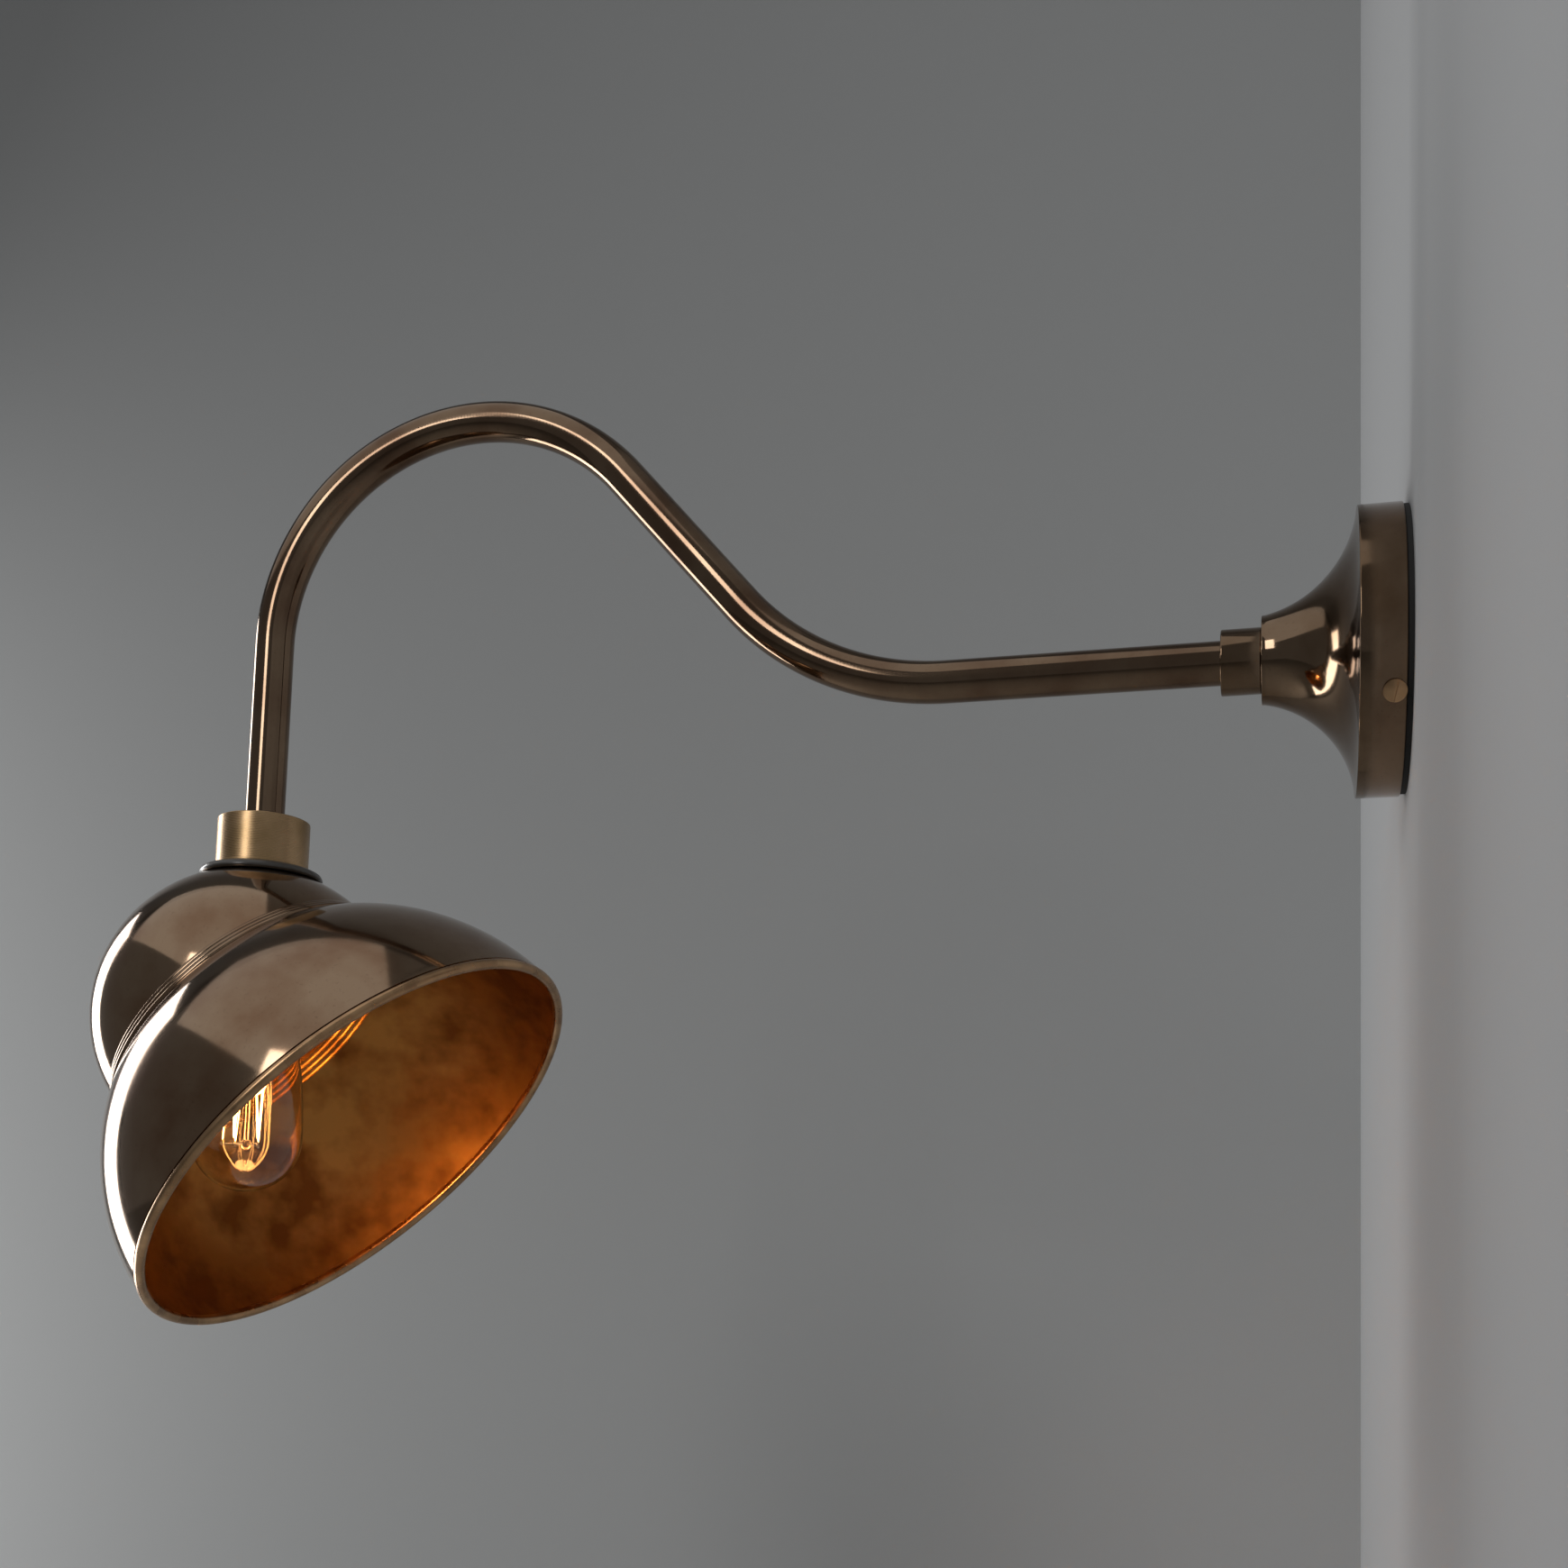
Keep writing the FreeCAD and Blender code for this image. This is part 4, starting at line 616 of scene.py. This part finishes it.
def lamp_shade():
    """Shade: dome with an off-centre seat, three waist beads, bowl, rolled rim and inner wall."""
    angle = np.linspace(0, 2 * np.pi, SHADE_STEPS, endpoint=False)
    waist_small = math.sqrt(DOME ** 2 - WAIST_START ** 2)
    waist = [(waist_small + i * WAIST_GROWTH, WAIST_START + i * WAIST_STEP)
             for i in range(WAIST_STEPS + 1)]
    bowl_middle = waist[-1][1] + math.sqrt(BOWL ** 2 - waist[-1][0] ** 2)
    rim_depth = bowl_middle - RIM_LEAD
    rim_outside = math.sqrt(BOWL ** 2 - RIM_LEAD ** 2)
    bead_middle = rim_outside + RIM_PROUD - RIM_BEAD
    inner_bowl = BOWL - WALL_THICKNESS
    inner_dome = DOME - WALL_THICKNESS

    beads = [bow(waist[i], waist[i + 1], WAIST_BEAD, 1, count=9) for i in range(WAIST_STEPS)]
    outer_bowl = bow(waist[-1], (rim_outside, rim_depth - RIM_BEAD), BOWL, 1, count=64)
    roll = np.radians(np.linspace(*RIM_ROLL, 30))
    bead = np.stack([bead_middle + RIM_BEAD * np.cos(roll), rim_depth + RIM_BEAD * np.sin(roll),
                     0 * roll], axis=1)
    inner_end = math.sqrt(inner_bowl ** 2 - (bowl_middle - waist[-1][1]) ** 2)
    inner_start = math.sqrt(inner_dome ** 2 - WAIST_START ** 2)
    inner_rim = (math.sqrt(inner_bowl ** 2 - RIM_LEAD ** 2), rim_depth - 1.5 * RIM_BEAD)
    bowl_inside = bow(inner_rim, (inner_end, waist[-1][1]), inner_bowl, -1, count=48)
    fall = np.linspace(1, 0, 25)
    ripple = WAIST_RIPPLE * np.abs(np.sin(math.pi * WAIST_STEPS * fall))
    waist_inside = np.stack([inner_start + fall * (inner_end - inner_start) + ripple,
                             WAIST_START + fall * (waist[-1][1] - WAIST_START), 0 * fall], axis=1)

    outside = np.vstack(beads + [outer_bowl])[:, :2]
    inside = np.vstack([bowl_inside, waist_inside])[:, :2]

    def spread(profile):
        """Rings about the shade's own axis."""
        return spun(profile, (np.eye(3), np.zeros(3)), steps=SHADE_STEPS)

    seat_radius = math.sqrt(DOME ** 2 - SEAT_HEIGHT ** 2)
    under = SEAT_HEIGHT - WALL_THICKNESS
    seat_inside = math.sqrt(inner_dome ** 2 - under ** 2)
    top = seat_rings([SEAT_HOLE, seat_radius - 0.3], [SEAT_HEIGHT, SEAT_HEIGHT], angle)
    bottom = seat_rings([seat_inside, SEAT_HOLE], [under, under], angle)
    parts = [top, dome_rings(DOME, SEAT_HEIGHT, angle, 56), spread(outside), spread(bead[:, :2]),
             spread(inside), dome_rings(inner_dome, under, angle, 40)[::-1], bottom]
    # the rolled rim takes the lighter rubbed brass: partly wear, partly a painted highlight along the
    # rim
    marks = [0, 0, 0, 1, 2, 2, 2]
    finish = np.concatenate([np.full(len(part), mark) for part, mark in zip(parts, marks)])
    grid = placed(np.concatenate(parts), SHADE)
    return piece("spun_shade", [grid], [SHADE_BRASS, RUBBED_BRASS_AND_HIGHLIGHT, INSIDE_BRASS], "shade",
                 ["lamp_shade"], closed=True, finish_of_ring=finish)


# ---------------------------------------------------------------- bulb

NECK, BULB, GLASS = 12.6, 26.5, 0.8
NECK_START, NECK_END, WIDEST = 63.0, 67.0, 156.5
NECK_CURVE = 45.0
STEM, ROD, BEAD = 3.5, 1.2, 2.6
FOOT_CURVE, FOOT_END = 14.2, 78.0
STEM_TIP = [(STEM, 97.0), (0.9 * STEM, 99.5), (0.6 * STEM, 101.4), (ROD, 102.5)]
CAGE_TOP, CAGE_BOTTOM = 96.0, 160.0
CAGE_TOP_RING, CAGE_BOTTOM_RING = 7.5, 11.0
STRANDS, STRAND_TURN = 10, 30.0
STRAND, STRAND_BOW = 0.28, 0.9
HOOK, HOOK_WIRE, HOOK_FOOT = 0.75, 0.22, 0.3


def bulb_side(wall):
    """Glass profile from the neck to the bottom, moved inwards by a wall.

    The neck's curve of 45 mm and the side's long curve touch on the line between their
    middles, whose distance is (g^2 + h^2) / 2 g for a growth g over a height h.
    """
    growth = BULB - NECK
    height = WIDEST - NECK_END
    span = (growth ** 2 + height ** 2) / (2 * growth)
    side = span - NECK_CURVE
    share = (side - wall) / span
    touch = (BULB - side + (span - growth) * share, WIDEST - height * share)
    return np.vstack([
        [(NECK - wall, NECK_START, SHARP)],
        bow((NECK - wall, NECK_END), touch, NECK_CURVE + wall, -1, count=20),
        bow(touch, (BULB - wall, WIDEST), side - wall, 1, count=40)[1:],
        bow((BULB - wall, WIDEST), (0.0, WIDEST + BULB - wall), BULB - wall, 1, count=32)[1:],
    ])


def bulb_glass():
    """Pear shaped envelope: outer skin to its pole, and inner skin back to the neck."""
    profile = np.vstack([bulb_side(0.0), bulb_side(GLASS)[::-1]])[:, :2]
    glass = piece("blown_bulb", [spun(profile, LAMP, steps=128)], [BULB_GLASS], "bulb",
                  ["bulb_glass"], closed=True)
    glass.visible_shadow = False
    return glass


def bulb_stem():
    """Pressed foot, stem, rod and the bead that carries the lower hooks."""
    foot = NECK_START + GLASS
    foot_edge = NECK - GLASS - 0.1
    bead_start = CAGE_BOTTOM - math.sqrt(BEAD ** 2 - ROD ** 2)
    profile = np.vstack([
        [(0.0, foot), (foot_edge, foot)],
        bow((foot_edge, foot + GLASS), (STEM, FOOT_END), FOOT_CURVE, -1, count=16)[:, :2],
        STEM_TIP,
        bow((ROD, bead_start), (0.0, CAGE_BOTTOM + BEAD), BEAD, 1, count=20)[:, :2],
    ])
    stem = piece("pressed_stem", [spun(profile, LAMP, steps=64)], [STEM_GLASS], "bulb",
                 ["bulb_stem"])
    stem.visible_shadow = False
    return stem


def cage_corners():
    """Corners of the zigzag, evenly turned, in turn on the upper and the lower ring."""
    index = np.arange(STRANDS + 1)
    angle = np.radians(STRAND_TURN * index)
    low = index % 2 == 1
    ring = np.where(low, CAGE_BOTTOM_RING, CAGE_TOP_RING)
    height = np.where(low, CAGE_BOTTOM, CAGE_TOP)
    return angle, ring, height


def filament():
    """One long strand through the cage's corners, bowed a little outwards and rounded at each hook.

    A strand is the straight line between two corners plus sin(pi t) outwards, and the whole
    line is smoothed by a weighted mean of five neighbours.
    """
    angle, ring, height = cage_corners()
    corner = np.stack([ring * np.cos(angle), ring * np.sin(angle), height], axis=1)
    t = np.linspace(0, 1, 26, endpoint=False)[None, :, None]
    run = corner[:-1, None] * (1 - t) + corner[1:, None] * t
    outward = run * np.array([1, 1, 0])
    outward /= np.linalg.norm(outward, axis=2, keepdims=True)
    line = (run + STRAND_BOW * np.sin(np.pi * t) * outward).reshape(-1, 3)
    padded = np.concatenate([np.repeat(line[:1], 2, axis=0), line, np.repeat(line[-1:], 2, axis=0)])
    weights = np.array([1, 2, 3, 2, 1]) / 9
    path = sum(weight * padded[i:i + len(line)] for i, weight in enumerate(weights))
    side = path * np.array([1, 1, 0])
    side /= np.linalg.norm(side, axis=1, keepdims=True)
    return piece("cage_filament", [tube(path, side, STRAND, LAMP, steps=8)], [FILAMENT], "bulb",
                 ["filament"], sharp=180)


def filament_supports():
    """Eleven hooks: each leaves the glass outwards and curls round the filament's corner."""
    curl = np.radians(np.linspace(180, -70, 14))
    grids = []
    for angle, ring, height in zip(*cage_corners()):
        start = (BEAD if height == CAGE_BOTTOM else STEM) - HOOK_FOOT
        out = np.concatenate([np.linspace(start, ring - HOOK, 8, endpoint=False),
                              ring + HOOK * np.cos(curl)])
        rise = height + np.concatenate([np.zeros(8), HOOK * np.sin(curl)])
        path = np.stack([out * math.cos(angle), out * math.sin(angle), rise], axis=1)
        side = np.array([-math.sin(angle), math.cos(angle), 0.0])
        grids.append(tube(path, side, HOOK_WIRE, LAMP, steps=8))
    return piece("filament_hooks", grids, [STEEL], "bulb", ["filament_supports"],
                 sharp=180)


wall_gasket()
wall_rose()
arm_collar()
gooseneck_tube()
lampholder_cap()
lampholder_flange()
lamp_shade()
bulb_glass()
bulb_stem()
filament()
filament_supports()


# ---------------------------------------------------------------- finishes of the CAD nodes

CAD_FINISHES = {
    # the side screws take the lighter rubbed brass: partly wear, partly a painted highlight on their
    # heads
    "mounting_plate": STEEL, "rose_side_screws": RUBBED_BRASS_AND_HIGHLIGHT, "earth_washer": STEEL,
    "earth_screw": CONTACT_BRASS, "terminal_block": BLOCK_NYLON, "terminal_tubes": CONTACT_BRASS,
    "terminal_screws": STEEL, "arm_washer": STEEL, "arm_locknut": STEEL, "arm_pipe": STEEL,
    "tube_end_bush": CONTACT_BRASS, "lamp_pipe": STEEL, "cap_locknut": STEEL,
    "live_wire": BROWN_PVC, "neutral_wire": BLUE_PVC, "earth_wire": STRIPED_PVC,
    "lampholder_sleeve": BLACK_MOULDING, "shade_clamp_ring": BLACK_MOULDING,
    "lampholder_insulator": CERAMIC, "holder_terminals": CONTACT_BRASS,
    "holder_terminal_screws": STEEL, "screw_shell": CONTACT_BRASS, "centre_contact": CONTACT_BRASS,
    "bulb_cap_contact": STEEL, "bulb_cap_insulator": BLACK_GLASS, "bulb_cap": CONTACT_BRASS,
}
for node_name, finish in CAD_FINISHES.items():
    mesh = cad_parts[node_name].data
    mesh.materials.clear()
    mesh.materials.append(finish)


# ---------------------------------------------------------------- studio

def sheet_of_stage(name, corners, dark, light, see_through):
    """A flat stage sheet through four corners, in metres, with painted light: dark to light along
    PAINTED_LIGHT_WAY.

    From behind, the camera looks through a sheet that would hide the lamp.
    """
    mesh = bpy.data.meshes.new(name)
    mesh.from_pydata(corners, [], [(0, 1, 2, 3)])
    material, tree, shader = start_material(name + "_paint")
    coordinates = add(tree, "ShaderNodeTexCoord").outputs["Object"]
    along = add(tree, "ShaderNodeVectorMath", {0: coordinates, 1: PAINTED_LIGHT_WAY},
                operation="DOT_PRODUCT").outputs["Value"]
    fade = add(tree, "ShaderNodeMapRange", {"Value": along, "From Min": PAINTED_LIGHT_START,
                                            "From Max": PAINTED_LIGHT_END})
    tone = add(tree, "ShaderNodeMix", {"Factor": fade.outputs["Result"], MIX_A: colour(dark),
                                       MIX_B: colour(light)}, data_type="RGBA")
    fill(tree, shader, {"Base Color": tone.outputs[MIX_OUT], "Roughness": 0.85,
                        "Specular IOR Level": 0.2})
    if see_through:
        back = add(tree, "ShaderNodeNewGeometry").outputs["Backfacing"]
        seen = add(tree, "ShaderNodeLightPath").outputs["Is Camera Ray"]
        away = add(tree, "ShaderNodeMath", {0: back, 1: seen}, operation="MULTIPLY")
        clear = add(tree, "ShaderNodeBsdfTransparent")
        either = add(tree, "ShaderNodeMixShader", {0: away.outputs["Value"],
                                                   1: shader.outputs["BSDF"],
                                                   2: clear.outputs["BSDF"]})
        tree.links.new(either.outputs["Shader"], tree.nodes["Material Output"].inputs["Surface"])
    mesh.materials.append(material)
    thing = bpy.data.objects.new(name, mesh)
    bpy.context.scene.collection.objects.link(thing)


# painted light: the paint lightens towards the wall and the floor, where less of the studio light
# falls
PAINTED_LIGHT_WAY = (0.885, 0.0, -0.466)
PAINTED_LIGHT_START, PAINTED_LIGHT_END = -1.33, 0.26
BACKDROP_Y = 0.57
BACKDROP_LEFT = -4.0
WALL_FRONT = -2.5
SHEET_FOOT, SHEET_TOP = -1.5, 2.2
FLOOR_Z = -1.1
FLOOR_REACH = 5.0

sheet_of_stage("backdrop", [(BACKDROP_LEFT, BACKDROP_Y, SHEET_FOOT), (0.0, BACKDROP_Y, SHEET_FOOT),
                            (0.0, BACKDROP_Y, SHEET_TOP), (BACKDROP_LEFT, BACKDROP_Y, SHEET_TOP)],
               "#6E6F6F", "#BBBCBC", True)
sheet_of_stage("wall", [(0.0, BACKDROP_Y, SHEET_FOOT), (0.0, WALL_FRONT, SHEET_FOOT),
                        (0.0, WALL_FRONT, SHEET_TOP), (0.0, BACKDROP_Y, SHEET_TOP)],
               "#B0B1B2", "#B0B1B2", True)
sheet_of_stage("floor", [(-FLOOR_REACH, -FLOOR_REACH, FLOOR_Z), (FLOOR_REACH, -FLOOR_REACH, FLOOR_Z),
                         (FLOOR_REACH, FLOOR_REACH, FLOOR_Z), (-FLOOR_REACH, FLOOR_REACH, FLOOR_Z)],
               "#BDBDBB", "#B5B5B3", False)


def softbox(name, place, aim, width, height, power):
    """A rectangular lamp in metres that faces the aim."""
    lamp = bpy.data.lights.new(name, "AREA")
    lamp.shape = "RECTANGLE"
    lamp.size = width
    lamp.size_y = height
    lamp.energy = power
    thing = bpy.data.objects.new(name, lamp)
    way = np.array(aim) - np.array(place)
    thing.location = place
    thing.rotation_euler = Vector(way.tolist()).to_track_quat("-Z", "Y").to_euler()
    bpy.context.scene.collection.objects.link(thing)


softbox("softbox_left", place=(-1.50, 0.31, -0.22), aim=(-0.55, 0.00, -0.20),
        width=0.32, height=1.30, power=10.0)
softbox("softbox_above", place=(-1.20, -0.40, 1.60), aim=(-0.60, 0.00, -0.10),
        width=2.60, height=2.20, power=8.5)
softbox("softbox_front", place=(-1.05, -1.95, 1.05), aim=(-0.40, 0.20, 0.00),
        width=0.55, height=0.90, power=8.0)

world = bpy.data.worlds.new("studio_air")
bpy.context.scene.world = world
world.use_nodes = True
background = world.node_tree.nodes["Background"]
background.inputs["Color"].default_value = colour("#646566")
background.inputs["Strength"].default_value = 1.0

# the lit bulb: a small warm lamp in the middle of the cage, which goes where the bulb goes
GLOW_DOWN, GLOW_SIZE = 128.0, 9.0
glow = bpy.data.lights.new("bulb_glow", "POINT")
glow.energy = 0.2
glow.color = colour("#FFAE68")[:3]
glow.shadow_soft_size = GLOW_SIZE * MM
glow_lamp = bpy.data.objects.new("bulb_glow", glow)
glow_lamp.location = placed(np.array([0.0, 0.0, GLOW_DOWN]), LAMP) * MM
bpy.context.scene.collection.objects.link(glow_lamp)
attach(glow_lamp, "bulb")


# ---------------------------------------------------------------- camera

IMAGE = 1740
FOCAL = 2041.0          # pixels
HORIZON = 1259.7        # row of the horizon
CAMERA_PLACE = (-0.04415, -0.8118, -0.2027)
CAMERA_LEFT = 15.58     # degrees, turned left from looking along Y
camera_data = bpy.data.cameras.new("camera")
camera_data.sensor_width = 36.0
camera_data.lens = FOCAL / IMAGE * camera_data.sensor_width
camera_data.shift_y = (HORIZON - IMAGE / 2) / IMAGE
camera = bpy.data.objects.new("camera", camera_data)
camera.location = CAMERA_PLACE
camera.rotation_euler = Euler((math.radians(90), 0, math.radians(CAMERA_LEFT)))
bpy.context.scene.collection.objects.link(camera)
bpy.context.scene.camera = camera
bpy.context.scene.view_settings.view_transform = "Standard"
